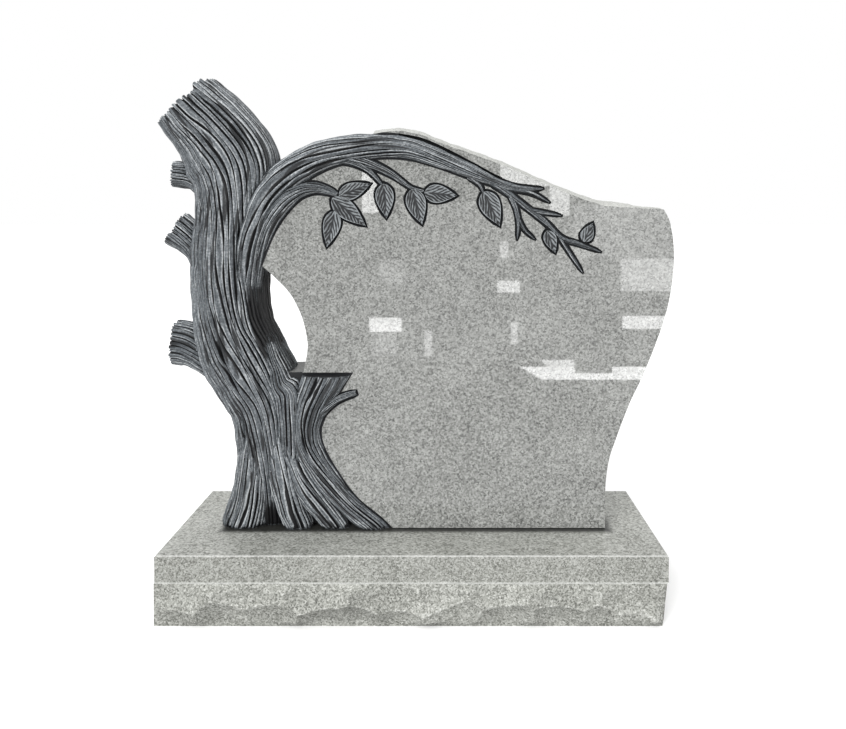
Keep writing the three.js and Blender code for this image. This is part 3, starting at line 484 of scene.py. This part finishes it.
STRAND_PITCH = 10.5 * MM
STRAND_POINTS = 5
STRAND_GAPES = [0.14, 0.17, 0.2, 0.25, 0.34]
LONG_WAVE = 500 * MM
SHOULDER = 1.2 * MM
BARK_SWELL = 1.5 * MM
TUCK_HEIGHT = 7 * MM
TUCK_SHARE = 0.07
SPLINTER_RINGS = [0.85, 0.68, 0.5, 0.3]


def limb(name, rows, spacing, furrow, seed, pitch=STRAND_PITCH, twist=0.0, bow=1.0, ragged=0.0, hollows=(),
         wash_and_shade=0.0, flank=None, shaded=None):
    """A limb with its bark. At s along it, the furrow before strand k of n lies at e_k(s) = k + 0.2 sin(2 pi
    s / L_k + p_k) + 0.3 sin(2 pi (s / 0.5 + k / n) + seed), and gapes by 0.05 + g_k clip(1.2 + sin(2 pi s /
    M_k + 3 p_k)) of a strand, so strands swell and merge. A ragged end is broken into splinters."""
    chance = np.random.default_rng(seed)
    even, slope, run = path(rows, spacing)
    rings = len(even)
    half_width = even[:, 2] * UNIT
    half_depth = (even[:, 3] - even[:, 4]) * SLAB_THICKNESS / 4
    middle = np.stack([even[:, 0] * UNIT, MID_Y - (even[:, 3] + even[:, 4]) * SLAB_THICKNESS / 4,
                       FOOT + even[:, 1] * UNIT], -1)
    girth = 2 * np.pi * np.sqrt((half_width**2 + half_depth**2) / 2)

    # Where each strand's furrow lies and how far it gapes.
    strands = max(6, round(girth.mean() / pitch))
    number = np.arange(strands)
    wave = chance.uniform(0.16, 0.42, strands)
    phase = chance.uniform(0, 2 * np.pi, strands)
    edge = number + 0.2 * np.sin(2 * np.pi * run[:, None] / wave + phase)
    edge = edge + 0.3 * np.sin(2 * np.pi * (run[:, None] / LONG_WAVE + number / strands) + seed)
    share = (np.concatenate([edge[:, 1:], edge[:, :1] + strands], axis=1) - edge) / strands
    gape = chance.choice(STRAND_GAPES, strands)
    length = chance.uniform(0.12, 0.4, strands)
    opening = np.clip(1.2 + np.sin(2 * np.pi * run[:, None] / length + 3 * phase), 0, 1)
    left = 0.05 + gape * opening
    right = np.roll(left, -1, axis=1)
    ridge = 1 - left - right

    # A strand's five points: the furrow's bottom, its two shoulders and two on the ridge between them.
    across = np.stack([0 * left, left, left + 0.3 * ridge, left + 0.7 * ridge, 1 - right], -1)
    turn = 0.25 + twist * (run / run[-1] - 0.5)
    angle = 2 * np.pi * (edge[:, :, None] / strands + share[:, :, None] * across + turn[:, None, None])
    strand_width = share * girth[:, None]
    deep = np.minimum(furrow * (0.25 + 0.75 * opening) * np.sqrt(gape / 0.2), 0.3 * half_width[:, None])
    deep = np.minimum(deep, 0.7 * strand_width)
    shoulder = np.minimum(SHOULDER, 0.12 * strand_width)
    inset = np.stack([deep + shoulder, shoulder, 0 * deep, 0.1 * shoulder, shoulder], -1)
    paint = np.zeros_like(inset)
    paint[..., 0] = 0.3 + 0.7 * np.clip(3 * opening, 0, 1)
    # Pale lines on the strands' shoulders, stronger on one side of each furrow: rubbed pale and a painted
    # highlight.
    lit = np.zeros_like(inset)
    lit[..., 1] = chance.uniform(0.3, 1, strands)
    lit[..., 4] = chance.uniform(0.1, 0.9, strands)
    for at_across, up, reach, around, depth in hollows:
        ring = np.argmin(np.hypot(even[:, 0] - at_across, even[:, 1] - up))
        centre = 2 * np.pi - np.arccos(np.clip((at_across - even[ring, 0]) / even[ring, 2], -1, 1))
        aside = ((angle - centre + np.pi) % (2 * np.pi) - np.pi) / around
        along = np.clip(1 - ((run - run[ring]) / reach) ** 2, 0, 1)[:, None, None]
        dip = along * np.exp(-(aside**2))
        inset = inset + depth * dip
        paint = np.maximum(paint, np.clip(2 * dip - 0.6, 0, 1) * np.array([1, 0.8, 0.15, 0.15, 0.8]))
    angle, inset, paint, lit = (layer.reshape(rings, -1) for layer in (angle, inset, paint, lit))
    sides = angle.shape[1]
    swell = BARK_SWELL * wrinkle(angle * 0.05, 0, run[:, None], 0.13, seed)
    cos, sin = np.cos(angle), np.sin(angle)
    side = (half_width[:, None] - inset + swell) * bowed(cos, bow)
    into = (half_depth[:, None] - inset + swell) * bowed(sin, bow)
    points = np.empty(angle.shape + (3,))
    points[..., 0] = middle[:, :1] + slope[:, 1:2] * side
    points[..., 1] = middle[:, 1:2] + into
    points[..., 2] = middle[:, 2:] - slope[:, :1] * side
    tuck = np.clip(1 - (points[..., 2] - FOOT) / TUCK_HEIGHT, 0, 1) ** 2
    points[..., :2] -= TUCK_SHARE * tuck[..., None] * (points[..., :2] - middle[:, None, :2])
    # The tucked-in foot of each limb is painted black: a painted shadow where it stands on the base.
    paint = np.maximum(paint, tuck)
    ends = middle[[0, -1]].copy()
    if ragged:
        # The strands break in groups of three, and smaller rings inside the last one stand for splinters.
        push = chance.uniform(-1, 0.25, strands)
        push = 0.75 * ragged * np.repeat(0.3 * push + 0.7 * push[number - number % 3], STRAND_POINTS)
        push = push - ragged * (0.3 * np.tile([1, 0.1, 0, 0, 0.1], strands) + 0.7 * np.sin(angle[-1]) ** 2)
        fade = np.clip(1 - (run[-1] - run) / (2 * ragged), 0, 1)[:, None]
        points[..., 0] += slope[-1, 0] * push * fade
        points[..., 2] += slope[-1, 1] * push * fade
        onward = np.array([slope[-1, 0], 0, slope[-1, 1]])
        ends[1] -= 0.6 * ragged * onward
        splinters = []
        for inward in SPLINTER_RINGS:
            back = np.repeat(chance.uniform(0.1, 1.1, strands), STRAND_POINTS)[:, None]
            splinters.append(middle[-1] + inward * (points[-1] - middle[-1]) - ragged * onward * back)
        points = np.concatenate([points, splinters])

    # The paint's layers, carried on over the splinters. The shade layer is black paint and painted shade:
    # darker at the limb's sides, on one flank and towards its foot.
    shade = wash_and_shade * np.clip(1 - 1.6 * np.abs(sin) * bow, 0, 1)
    height = even[:, 1:2]
    if flank:
        beside = np.clip((height - flank[0]) / 4, 0, 1) * np.clip((flank[1] - height) / 4, 0, 1)
        shade = np.maximum(shade, beside * np.clip((cos - 0.6) / 0.06, 0, 1))
    if shaded:
        shade = np.maximum(shade, np.clip((shaded - height) / 8, 0, 0.8))
    added = len(points) - rings
    torn = 0.06 + 0.14 * opening[-1:].repeat(STRAND_POINTS, axis=1)
    paint = np.vstack([paint, np.tile(torn, (added, 1))])
    lit = np.vstack([lit, np.zeros((added, sides))])
    shade = np.vstack([shade, np.repeat(shade[-1:], added, axis=0)])
    girths = angle / (2 * np.pi) * girth.mean()
    girths = np.vstack([girths, np.repeat(girths[-1:], added, axis=0)])
    runs = np.append(run, run[-1] + 0.01 * np.arange(added)) + seed
    tones = np.tile(np.repeat(chance.uniform(0, 1, strands), STRAND_POINTS), len(points))
    made = mesh_object(name, np.vstack([points.reshape(-1, 3), ends]), tube_faces(len(points), sides), [bark])
    layers = {
        "furrow": np.append(paint.reshape(-1), [1, 0.2 if ragged else 1]),
        "lit": np.append(lit.reshape(-1), [0, 0]),
        "tone": np.append(tones, [0.5, 0.5]),
        "around": np.append(girths.reshape(-1), [0, 0]),
        "run": np.append(np.repeat(runs, sides), [0, 0]),
        "wash_and_shade": np.append(shade.reshape(-1), [wash_and_shade, wash_and_shade]),
    }
    for layer, values in layers.items():
        set_layer(made, layer, values)
    return made


RIDGE_TONES = [(0.4, "282b2e"), (0.58, "52575b"), (0.74, "797e82"), (0.95, "c8ccce")]
# Streaks and creases to the metre, round a limb and along it. Both are coarser than the real tool marks.
STREAK_RATE = (300, 26, 1)
CREASE_RATE = (120, 7, 1)
BARK_GRIT = 4.5 * MM


def painted_bark():
    """Carved granite painted black and rubbed back: black in the furrows, blue-grey on the ridges, whose edges
    are rubbed palest and carry a painted highlight. Painted shade darkens the limbs' sides, a flank and the
    feet."""
    material, tree, shader = new_material("painted_bark")
    names = ("furrow", "lit", "tone", "around", "run", "wash_and_shade")
    furrow, lit, tone, around, run, wash_and_shade_share = (attribute(tree, name) for name in names)
    place = add(tree, "ShaderNodeCombineXYZ", {"X": around, "Y": run}).outputs[0]
    streak = noise(tree, vector(tree, "MULTIPLY", place, STREAK_RATE), 1.0, 3.0)
    grit = noise(tree, add(tree, "ShaderNodeTexCoord").outputs["Object"], 1 / BARK_GRIT, 2.0)
    light = calc(tree, "MULTIPLY", tone, 0.18)
    light = calc(tree, "MULTIPLY_ADD", streak, 0.6, light)
    light = calc(tree, "MULTIPLY_ADD", lit, 0.34, light)
    light = calc(tree, "MULTIPLY_ADD", grit, 0.5, light)
    ridge = ramp(tree, light, RIDGE_TONES)
    paint_and_shade = calc(tree, "MULTIPLY_ADD", calc(tree, "SUBTRACT", streak, 0.5), 0.7, furrow)
    # Painted shade on the limbs' sides, flank and feet, together with their black paint, darkens the bark here.
    paint_and_shade = calc(tree, "MULTIPLY_ADD", wash_and_shade_share, 0.6, paint_and_shade)
    crease = noise(tree, vector(tree, "MULTIPLY", place, CREASE_RATE), 1.0, 1.0)
    black = calc(tree, "MAXIMUM", between(tree, paint_and_shade, 0.16, 0.34), between(tree, crease, 0.42, 0.37, 0.9))
    tree.links.new(mix_colour(tree, black, ridge, linear("0d0e10")), shader.inputs["Base Color"])
    relief(tree, shader, streak, 1.2 * MM, 0.7)
    shader.inputs["Roughness"].default_value = 0.62
    return material


def black_wash_and_shadow():
    """The black paint in the cuts round the carving and in its recesses, and the painted shadow on the arris at
    the slab's foot.
    """
    material, _, shader = new_material("black_wash_and_shadow")
    shader.inputs["Base Color"].default_value = linear("15171a")
    shader.inputs["Roughness"].default_value = 0.7
    return material


LEAF_VEIN_SPACING = 15 * MM
LEAF_VEIN_SLANT = 2.2
# Three patterns that make the strokes uneven: their size, and how far the first two shift a stroke.
LEAF_GRIT = 4 * MM
LEAF_GRIT_SHIFT = 2.2 * MM
LEAF_DRIFT = 30 * MM
LEAF_DRIFT_SHIFT = 25 * MM
LEAF_WEAR = 12 * MM


def painted_leaf():
    """A leaf's paint: pale strokes slant back from a dark midrib, over a dark ground, inside a pale rim. One
    half is painted lighter than the other: painted light.
    """
    material, tree, shader = new_material("painted_leaf")
    furrow, around, run, lit = (attribute(tree, name) for name in ("furrow", "around", "run", "lit"))
    place = add(tree, "ShaderNodeTexCoord").outputs["Object"]
    slant = calc(tree, "MULTIPLY_ADD", calc(tree, "ABSOLUTE", around), -LEAF_VEIN_SLANT, run)
    for size, shift, detail in ((LEAF_GRIT, LEAF_GRIT_SHIFT, 3.0), (LEAF_DRIFT, LEAF_DRIFT_SHIFT, 1.0)):
        slant = calc(tree, "MULTIPLY_ADD", noise(tree, place, 1 / size, detail), shift, slant)
    wave = calc(tree, "SINE", calc(tree, "MULTIPLY", slant, 2 * math.pi / LEAF_VEIN_SPACING))
    # One half of each leaf is painted lighter than the other: painted light, as on a lit side.
    wave = calc(tree, "MULTIPLY_ADD", calc(tree, "SIGN", around), 0.4, wave)
    wave = calc(tree, "MULTIPLY_ADD", noise(tree, place, 1 / LEAF_WEAR, 1.0), 2.4, wave)
    strokes = mix_colour(tree, between(tree, wave, 1.0, 2.0), linear("141618"), linear("8e9396"))
    strokes = mix_colour(tree, lit, strokes, linear("a2a7aa"))
    black = between(tree, furrow, 0.35, 0.9)
    tree.links.new(mix_colour(tree, black, strokes, linear("17191c")), shader.inputs["Base Color"])
    shader.inputs["Roughness"].default_value = 0.6
    return material


polished_granite = granite("polished_granite", POLISHED_TONES, POLISHED_CRYSTAL, 0.025, 0, 0.3)
painted_shade_granite = granite("painted_shade_granite", PAINTED_SHADE_TONES, POLISHED_CRYSTAL, 0.5, 0, 0.3)
bark = painted_bark()
wash_and_shade = black_wash_and_shadow()
leaf_paint = painted_leaf()


def solve(first, others, operation):
    """Cuts or joins solids one after another and keeps the result in the first."""
    for other in others:
        step = first.modifiers.new("step", "BOOLEAN")
        step.object = other
        step.operation = operation
        step.solver = "MANIFOLD"
        step.material_mode = "TRANSFER"
        graph = bpy.context.evaluated_depsgraph_get()
        result = bpy.data.meshes.new_from_object(first.evaluated_get(graph))
        first.modifiers.clear()
        old = first.data
        first.data = result
        bpy.data.meshes.remove(old)
        bpy.data.objects.remove(other)
    return first


TROUGH_SIDES = 14


def trough(rows, spread, depth, spacing, bow=1.0):
    """An oval trough centred on the polished face. It is as wide as its limb is there, and spread wider on
    each side, and narrows to run out a little past the limb's ends."""
    even, slope, _ = path(rows, spacing)
    centre = (even[:, 3] + even[:, 4]) / 2
    sunk = (0.93 - centre) / ((even[:, 3] - even[:, 4]) / 2)
    share = (1 - np.clip(sunk, 0, 0.95) ** (2 / bow)) ** (bow / 2)
    room = np.full(len(even), spread)
    room[[0, -1]] = 0.3 * spread
    past = np.zeros(len(even))
    past[[0, -1]] = -spread, spread
    turn = 2 * np.pi * (np.arange(TROUGH_SIDES) + 0.5) / TROUGH_SIDES
    side = (even[:, 2] * UNIT * share + room)[:, None] * np.cos(turn)
    points = np.empty(side.shape + (3,))
    points[..., 0] = (even[:, 0] * UNIT + slope[:, 0] * past)[:, None] + slope[:, 1:2] * side
    points[..., 1] = FACE_Y + depth * np.sin(turn)
    points[..., 2] = (FOOT + even[:, 1] * UNIT + slope[:, 1] * past)[:, None] - slope[:, :1] * side
    points = np.vstack([points.reshape(-1, 3), points[[0, -1]].mean(axis=1)])
    return mesh_object("trough", points, tube_faces(len(even), TROUGH_SIDES), [wash_and_shade])


def prism(name, outline, front, back, materials, face_materials=None):
    """A straight block of this outline between two depths."""
    outline = np.asarray(outline)
    count = len(outline)
    points = np.empty((2, count, 3))
    points[..., 0] = outline[:, 0] * UNIT
    points[0, :, 1] = front
    points[1, :, 1] = back
    points[..., 2] = FOOT + outline[:, 1] * UNIT
    walls = [[n, n + count, (n + 1) % count + count, (n + 1) % count] for n in range(count)]
    faces = walls + [list(range(count)), list(range(2 * count - 1, count - 1, -1))]
    return mesh_object(name, points.reshape(-1, 3), faces, materials, face_materials)


def pocket(outline, depth):
    """A recess of this outline in the polished face, painted black."""
    return prism("pocket", outline, FACE_Y - 0.1, FACE_Y + depth, [wash_and_shade])


def grid_quads(index):
    """Quads between the points numbered in a grid."""
    corners = [index[:-1, :-1], index[1:, :-1], index[1:, 1:], index[:-1, 1:]]
    return np.stack(corners, -1).reshape(-1, 4).tolist()


def leaf_grid(shape, steps, sides, spread=0.0):
    """Points of a leaf: t from base to tip, v from -1 to 1 across. At t it is 3.6 t^0.7 (1 - t)^1.25 of its
    half width to each side of its midrib."""
    (bx, bz), (tx, tz), half = shape
    t = np.linspace(0, 1, steps + 1)[:, None]
    v = np.linspace(-1, 1, sides + 1)[None, :]
    length = math.hypot(tx - bx, tz - bz) * UNIT
    lean = math.atan2(tz - bz, tx - bx)
    width = half * UNIT * 3.6 * t**0.7 * (1 - t) ** 1.25
    room = spread * np.clip(5 * t, 0, 1) * np.clip(6 * (1 - t), 0, 1)
    along = t * length + 1.5 * spread * (2 * t - 1) + 0 * v
    aside = v * (width + room)
    x = bx * UNIT + along * math.cos(lean) - aside * math.sin(lean)
    z = FOOT + bz * UNIT + along * math.sin(lean) + aside * math.cos(lean)
    return x, z, t + 0 * v, v + 0 * t, along, aside


LEAF_CUT_STEPS = 24
LEAF_CUT_ROOM = 0.8 * MM


def leaf_cut(shape):
    """The V cut round a leaf, narrower as it goes in."""
    rings = []
    levels = ((OUTLINE_DEPTH, LEAF_CUT_ROOM), (0, OUTLINE_WIDTH), (-OUTLINE_DEPTH, OUTLINE_WIDTH))
    for into, spread in levels:
        x, z, *_ = leaf_grid(shape, LEAF_CUT_STEPS, 2, spread)
        around_x = np.concatenate([x[:, 0], x[-2:0:-1, 2]])
        around_z = np.concatenate([z[:, 0], z[-2:0:-1, 2]])
        rings.append(np.stack([around_x, np.full_like(around_x, FACE_Y + into), around_z], -1))
    rings = np.array(rings)
    points = np.vstack([rings.reshape(-1, 3), rings[[0, -1]].mean(axis=1)])
    return mesh_object("leaf_cut", points, tube_faces(*rings.shape[:2]), [wash_and_shade])


LEAF_STEPS = 30
LEAF_SIDES = 14
LEAF_RISE = 2.4 * MM
LEAF_FOLD = 3.2 * MM
LEAF_VEIN_DEPTH = 0.35 * MM
LEAF_ROOT = 12 * MM


def leaf(shape):
    """A folded leaf with a raised rim, a sunk midrib and slanting veins. Its back is sunk in the slab."""
    x, z, t, v, along, aside = leaf_grid(shape, LEAF_STEPS, LEAF_SIDES)
    rim = np.clip((np.abs(v) - 0.72) / 0.2, 0, 1)
    fold = LEAF_FOLD * (1 - np.abs(v)) * np.sin(np.pi * np.clip(t, 0.02, 0.98)) ** 0.5
    wave = np.sin(2 * np.pi * (along - LEAF_VEIN_SLANT * np.abs(aside)) / LEAF_VEIN_SPACING)
    front = FACE_Y - LEAF_RISE + fold - LEAF_VEIN_DEPTH * wave * (1 - rim)
    midrib = np.exp(-((v / 0.2) ** 2)) * np.clip(6 * t, 0, 1) * np.clip(4 * (1 - t), 0, 1)
    paint = np.clip(np.maximum(midrib, 0.75 * np.exp(-(((np.abs(v) - 0.62) / 0.12) ** 2))), 0, 1)
    edge = np.clip((np.abs(v) - 0.86) / 0.1, 0, 1)
    grid = np.stack([x, front, z], -1)
    marks = np.stack([paint * (1 - edge), along, aside, edge], -1)
    marks[[0, -1]] = np.stack([0 * along, along, 0 * aside, 1 + 0 * edge], -1)[[0, -1]]

    # The base and the tip are single points, and the rest of the grid lies between them.
    grid, marks = (np.vstack([rows[0, :1], rows[1:-1].reshape(-1, rows.shape[2]), rows[-1, :1]])
                   for rows in (grid, marks))
    index = np.zeros(x.shape, dtype=int)
    index[1:-1] = 1 + np.arange(index[1:-1].size).reshape(index[1:-1].shape)
    index[-1] = len(grid) - 1
    faces = [list(dict.fromkeys(quad)) for quad in grid_quads(index)]
    loop = np.concatenate([index[:, 0], index[-2:0:-1, -1]])
    count = len(loop)
    sunk = grid[loop]
    sunk[:, 1] = FACE_Y + LEAF_ROOT
    onward = np.roll(loop, -1)
    root = len(grid) + np.arange(count)
    faces += np.stack([loop, root, np.roll(root, -1), onward], -1).tolist()
    faces.append(root[::-1].tolist())
    made = mesh_object("leaf", np.vstack([grid, sunk]), faces, [leaf_paint])
    marks = np.vstack([marks, np.tile([1, 0, 0, 0], (count, 1))])
    for layer, values in zip(("furrow", "run", "around", "lit"), marks.T):
        set_layer(made, layer, values)
    return made


def block_under(xs, ys, top, bottom, materials):
    """A closed block under a grid of heights."""
    gx, gy = np.meshgrid(xs, ys, indexing="ij")
    upper = np.stack([gx, gy, top], -1).reshape(-1, 3)
    index = np.arange(gx.size).reshape(gx.shape)
    rim = np.concatenate([index[:, 0], index[-1, 1:], index[-2::-1, -1], index[0, -2:0:-1]])
    lower = upper[rim]
    lower[:, 2] = bottom
    foot = len(upper) + np.arange(len(rim))
    walls = np.stack([foot, np.roll(foot, -1), np.roll(rim, -1), rim], -1).tolist()
    faces = grid_quads(index) + walls + [foot[::-1].tolist()]
    return mesh_object("block", np.vstack([upper, lower]), faces, materials)


SKYLINE = 95
TOP_OVERHANG = 12 * MM
TOP_STEP = 4 * MM
TOP_ROWS = 27
TOP_FLAKE_SPACINGS = (110 * MM, 80 * MM)
TOP_SWELL = 5 * MM
TOP_RAGGED = 1.0 * MM
TOP_GRAIN = 0.5 * MM


def slab():
    """The slab's outline drawn from front to back, cut off under the pitched top, with an arris at the foot."""
    outline = np.vstack([
        spline(RIGHT_EDGE, 90), [(53.6, SKYLINE), (UNDER_BRANCH[0][0], SKYLINE)], spline(UNDER_BRANCH, 24),
        spline(HOLE_EDGE, 50), LEDGE,
    ])
    # The ledge wall inside the hole takes the darker granite: painted shade.
    ledge_wall = len(outline) - len(LEDGE)
    body = prism("carved_stone", outline, FACE_Y, FACE_Y + SLAB_THICKNESS, [polished_granite, painted_shade_granite],
                 [int(n == ledge_wall) for n in range(len(outline) + 2)])
    xs = np.arange(TOP_LINE[0][0] * UNIT, TOP_LINE[-1][0] * UNIT, TOP_STEP)
    ys = np.linspace(FACE_Y - TOP_OVERHANG, FACE_Y + SLAB_THICKNESS + TOP_OVERHANG, TOP_ROWS)
    line = spline(TOP_LINE, 400)
    front = FOOT + np.interp(xs, line[:, 0] * UNIT, line[:, 1] * UNIT)[:, None]
    across = np.clip(np.abs(ys - MID_Y) / (SLAB_THICKNESS / 2), 0, 1)[None, :]
    along = xs[:, None] - xs[0]
    depth = ys[None, :] - ys[0]
    broken, _ = flakes(along, depth, 1.4, ys[-1] - ys[0], *TOP_FLAKE_SPACINGS, TOP_SWELL)
    ragged_line = TOP_RAGGED * wrinkle(xs[:, None], 0.4 * ys[None, :], 0, 0.05, 0.4)
    crown = CROWN_RISE * (1 - across**1.8) * np.clip((CROWN_FADE[0] - xs[:, None]) / CROWN_FADE[1], 0.2, 1)
    grain = TOP_GRAIN * wrinkle(xs[:, None], ys[None, :], 0, 0.019, 2.2)
    top = front + crown + np.clip(broken, -6 * MM, 2 * MM) * (1 - 0.75 * across) + ragged_line + grain
    solve(body, [block_under(xs, ys, top, FOOT - 0.1, [bruised_and_highlight_granite])], "INTERSECT")
    # The arris at the slab's foot is cut out and painted black: a painted shadow along the joint with the base.
    reach = 0.8
    arris = [(-MM, -MM), (FOOT_ARRIS_DEPTH, -MM), (-MM, FOOT_ARRIS_HEIGHT)]
    wedge = [(x, FACE_Y + dy, FOOT + dz) for x in (-reach, reach) for dy, dz in arris]
    wedge_faces = [[0, 1, 4, 3], [1, 2, 5, 4], [2, 0, 3, 5], [2, 1, 0], [3, 4, 5]]
    return solve(body, [mesh_object("wedge", wedge, wedge_faces, [wash_and_shade])], "DIFFERENCE")


def level_block(top, bottom):
    """A wide block between two levels."""
    edge = np.array([-0.9, 0.9])
    return block_under(edge, edge, np.full((2, 2), top), bottom, [wash_and_shade])


CUT_SPACING = 8 * MM
RING_SPACING = 7.5 * MM


def upright_stone():
    """The slab with the outlines cut in its face, then the bark and the leaves joined on."""
    body = slab()
    outline = (OUTLINE_WIDTH, OUTLINE_DEPTH, CUT_SPACING)
    stump_level = FOOT + STUMP_TOP * UNIT
    stump_cut = solve(trough(STUMP, *outline), [level_block(stump_level + STUMP_CUT, 0)], "INTERSECT")
    cuts = [trough(rows, *outline) for rows in (INNER_BOUGH, STUMP_SPUR, *TWIGS)]
    cuts += [trough(BRANCH, *outline, bow=BRANCH_BOW), stump_cut,
             trough(BRANCH_HOLLOW, 0, BRANCH_HOLLOW_DEPTH, CUT_SPACING),
             pocket(ROOT_RECESS, RECESS_DEPTH), pocket(CROTCH, CROTCH_DEPTH)]
    cuts += [leaf_cut(shape) for shape in LEAVES]
    solve(body, cuts, "DIFFERENCE")
    # Each hollow: across, up, reach along the limb in metres, reach round it in radians, depth in metres.
    stump = limb("stump", STUMP, 8 * MM, 5 * MM, 3, pitch=9 * MM, twist=-0.1, wash_and_shade=0.25,
                 hollows=[(-24.1, 19.4, 0.05, 0.14, 0.010), (-22.0, 31, 0.03, 0.12, 0.008)])
    solve(stump, [level_block(stump_level, 0)], "INTERSECT")
    limbs = [
        limb("trunk", TRUNK, RING_SPACING, 6 * MM, 1, twist=-0.22, bow=0.85, ragged=14 * MM, wash_and_shade=0.4,
             flank=(33, 60), shaded=9,
             hollows=[(-46.5, 67, 0.1, 0.06, 0.012), (-36.5, 20, 0.09, 0.06, 0.012),
                      (-41.0, 38, 0.12, 0.05, 0.009), (-38.5, 60, 0.15, 0.05, 0.008)]),
        limb("web", WEB, 9 * MM, 5 * MM, 2, bow=0.9, wash_and_shade=0.4, flank=(31, 60), shaded=8),
        limb("branch", BRANCH, RING_SPACING, 5.5 * MM, 4, pitch=12 * MM, twist=0.12, bow=BRANCH_BOW,
             wash_and_shade=0.1),
        limb("inner_bough", INNER_BOUGH, RING_SPACING, 4 * MM, 5, pitch=8 * MM, wash_and_shade=0.45),
        limb("stump_spur", STUMP_SPUR, RING_SPACING, 2 * MM, 6, pitch=7 * MM, wash_and_shade=0.3),
        stump,
    ]
    limbs += [limb("stub", rows, RING_SPACING, 4.5 * MM, seed, pitch=9 * MM, ragged=7 * MM)
              for seed, rows in enumerate(STUBS, 10)]
    limbs += [limb("root", rows, 9 * MM, 4.5 * MM, seed, bow=0.75, wash_and_shade=0.3)
              for seed, rows in enumerate(ROOTS, 20)]
    limbs += [limb("twig", rows, 8 * MM, 1 * MM, seed, pitch=8 * MM, wash_and_shade=0.3)
              for seed, rows in enumerate(TWIGS, 30)]
    solve(body, limbs + [leaf(shape) for shape in LEAVES], "UNION")
    solve(body, [level_block(1.5, FOOT)], "INTERSECT")
    body.data.shade_smooth()
    body.data.set_sharp_from_angle(angle=math.radians(42))
    return body


stone = upright_stone()
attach(stone, "root")
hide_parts("upright_stone")

# The stage: a pale floor, soft white light all round, a broad light from the upper left, and behind the
# camera some bright panes that the polished face mirrors.
CAMERA = (0.084, -1.600, 0.862)
CAMERA_TILT = 1.0
FOCAL_PIXELS = 672.7
IMAGE_WIDTH = 846
OPTICAL_CENTRE = (27.8, -130.1)
SENSOR = 36.0


PANE_DISTANCE = 2.0
PANE_STEP = 0.01


def pane(number, x0, x1, z0, z1, strength, slant=0.0):
    """A bright card behind the camera, placed so that its mirror image fills x0..x1, z0..z1 of the face. Each
    one stands a little nearer than the one before, so that no two lie in one plane."""
    away = PANE_DISTANCE - PANE_STEP * number
    k = away / (FACE_Y - CAMERA[1])
    corners = [(x0 + slant, z0), (x1, z0), (x1, z1), (x0, z1)]
    points = [(x + k * (x - CAMERA[0]), FACE_Y - away, z + k * (z - CAMERA[2])) for x, z in corners]
    material, _, glow = new_material(f"pane_{number}", "ShaderNodeEmission")
    glow.inputs["Color"].default_value = (1, 1, 1, 1)
    glow.inputs["Strength"].default_value = strength
    made = mesh_object(f"pane_{number}", points, [[0, 1, 2, 3]], [material])
    made.visible_camera = False
    made.visible_diffuse = False
    made.visible_shadow = False


# Each pane: left, right, bottom, top of its mirror image in metres, its brightness and its slant.
PANES = [
    (-0.034, 0.610, 0.541, 0.905, 1.9, 0.0),
    (0.367, 0.610, 0.780, 0.905, 3.4, 0.0),
    (-0.081, -0.020, 0.723, 0.777, 3.2, 0.0),
    (-0.105, -0.030, 0.609, 0.642, 13.0, 0.0),
    (-0.100, -0.040, 0.553, 0.607, 3.8, 0.0),
    (0.244, 0.372, 0.498, 0.528, 13.0, 0.05),
    (0.372, 0.458, 0.498, 0.513, 13.0, 0.0),
    (0.458, 0.640, 0.498, 0.528, 13.0, 0.0),
    (0.290, 0.370, 0.528, 0.544, 10.0, 0.02),
    (0.481, 0.600, 0.616, 0.646, 12.0, 0.0),
    (0.477, 0.640, 0.704, 0.779, 6.5, 0.0),
    (-0.121, -0.084, 0.884, 0.985, 10.0, 0.0),
    (0.198, 0.358, 0.946, 0.999, 9.0, 0.0),
    (0.312, 0.358, 0.878, 0.946, 9.0, 0.0),
    (0.191, 0.244, 0.700, 0.728, 10.0, 0.0),
    (0.198, 0.217, 0.781, 0.819, 7.5, 0.0),
    (0.223, 0.239, 0.581, 0.632, 7.5, 0.0),
    (0.023, 0.040, 0.553, 0.611, 7.0, 0.0),
]
for number, values in enumerate(PANES):
    pane(number, *values)

floor_material, _, floor_shader = new_material("white_floor")
floor_shader.inputs["Base Color"].default_value = (0.97, 0.97, 0.97, 1)
floor_shader.inputs["Roughness"].default_value = 1.0
floor_shader.inputs["Emission Color"].default_value = (1, 1, 1, 1)
floor_shader.inputs["Emission Strength"].default_value = 0.15
FLOOR_REACH = 200
floor_corners = [(x * FLOOR_REACH, y * FLOOR_REACH, 0) for x, y in ((-1, -1), (1, -1), (1, 1), (-1, 1))]
floor = mesh_object("floor", floor_corners, [[0, 1, 2, 3]], [floor_material])
floor.visible_diffuse = False

sun_data = bpy.data.lights.new("key", "SUN")
sun_data.angle = math.radians(25)
sun_data.energy = 2.0
sun = bpy.data.objects.new("key", sun_data)
sun.rotation_euler = (math.radians(62), 0, math.radians(-32))
sun.visible_glossy = False
bpy.context.collection.objects.link(sun)

world = bpy.data.worlds.new("white")
world.use_nodes = True
sky = world.node_tree
up = add(sky, "ShaderNodeSeparateXYZ", {0: add(sky, "ShaderNodeTexCoord").outputs["Generated"]}).outputs["Z"]
share = add(sky, "ShaderNodeMapRange", {"Value": up, "From Min": -0.12, "From Max": -0.02, "To Min": 0.35})
sky.links.new(share.outputs[0], sky.nodes["Background"].inputs["Color"])
bpy.context.scene.world = world
bpy.context.scene.view_settings.view_transform = "Standard"

camera_data = bpy.data.cameras.new("camera")
camera_data.sensor_width = SENSOR
camera_data.lens = FOCAL_PIXELS / IMAGE_WIDTH * SENSOR
camera_data.shift_x = -OPTICAL_CENTRE[0] / IMAGE_WIDTH
camera_data.shift_y = OPTICAL_CENTRE[1] / IMAGE_WIDTH
camera = bpy.data.objects.new("camera", camera_data)
camera.location = CAMERA
camera.rotation_euler = (math.radians(90 - CAMERA_TILT), 0, 0)
bpy.context.collection.objects.link(camera)
bpy.context.scene.camera = camera
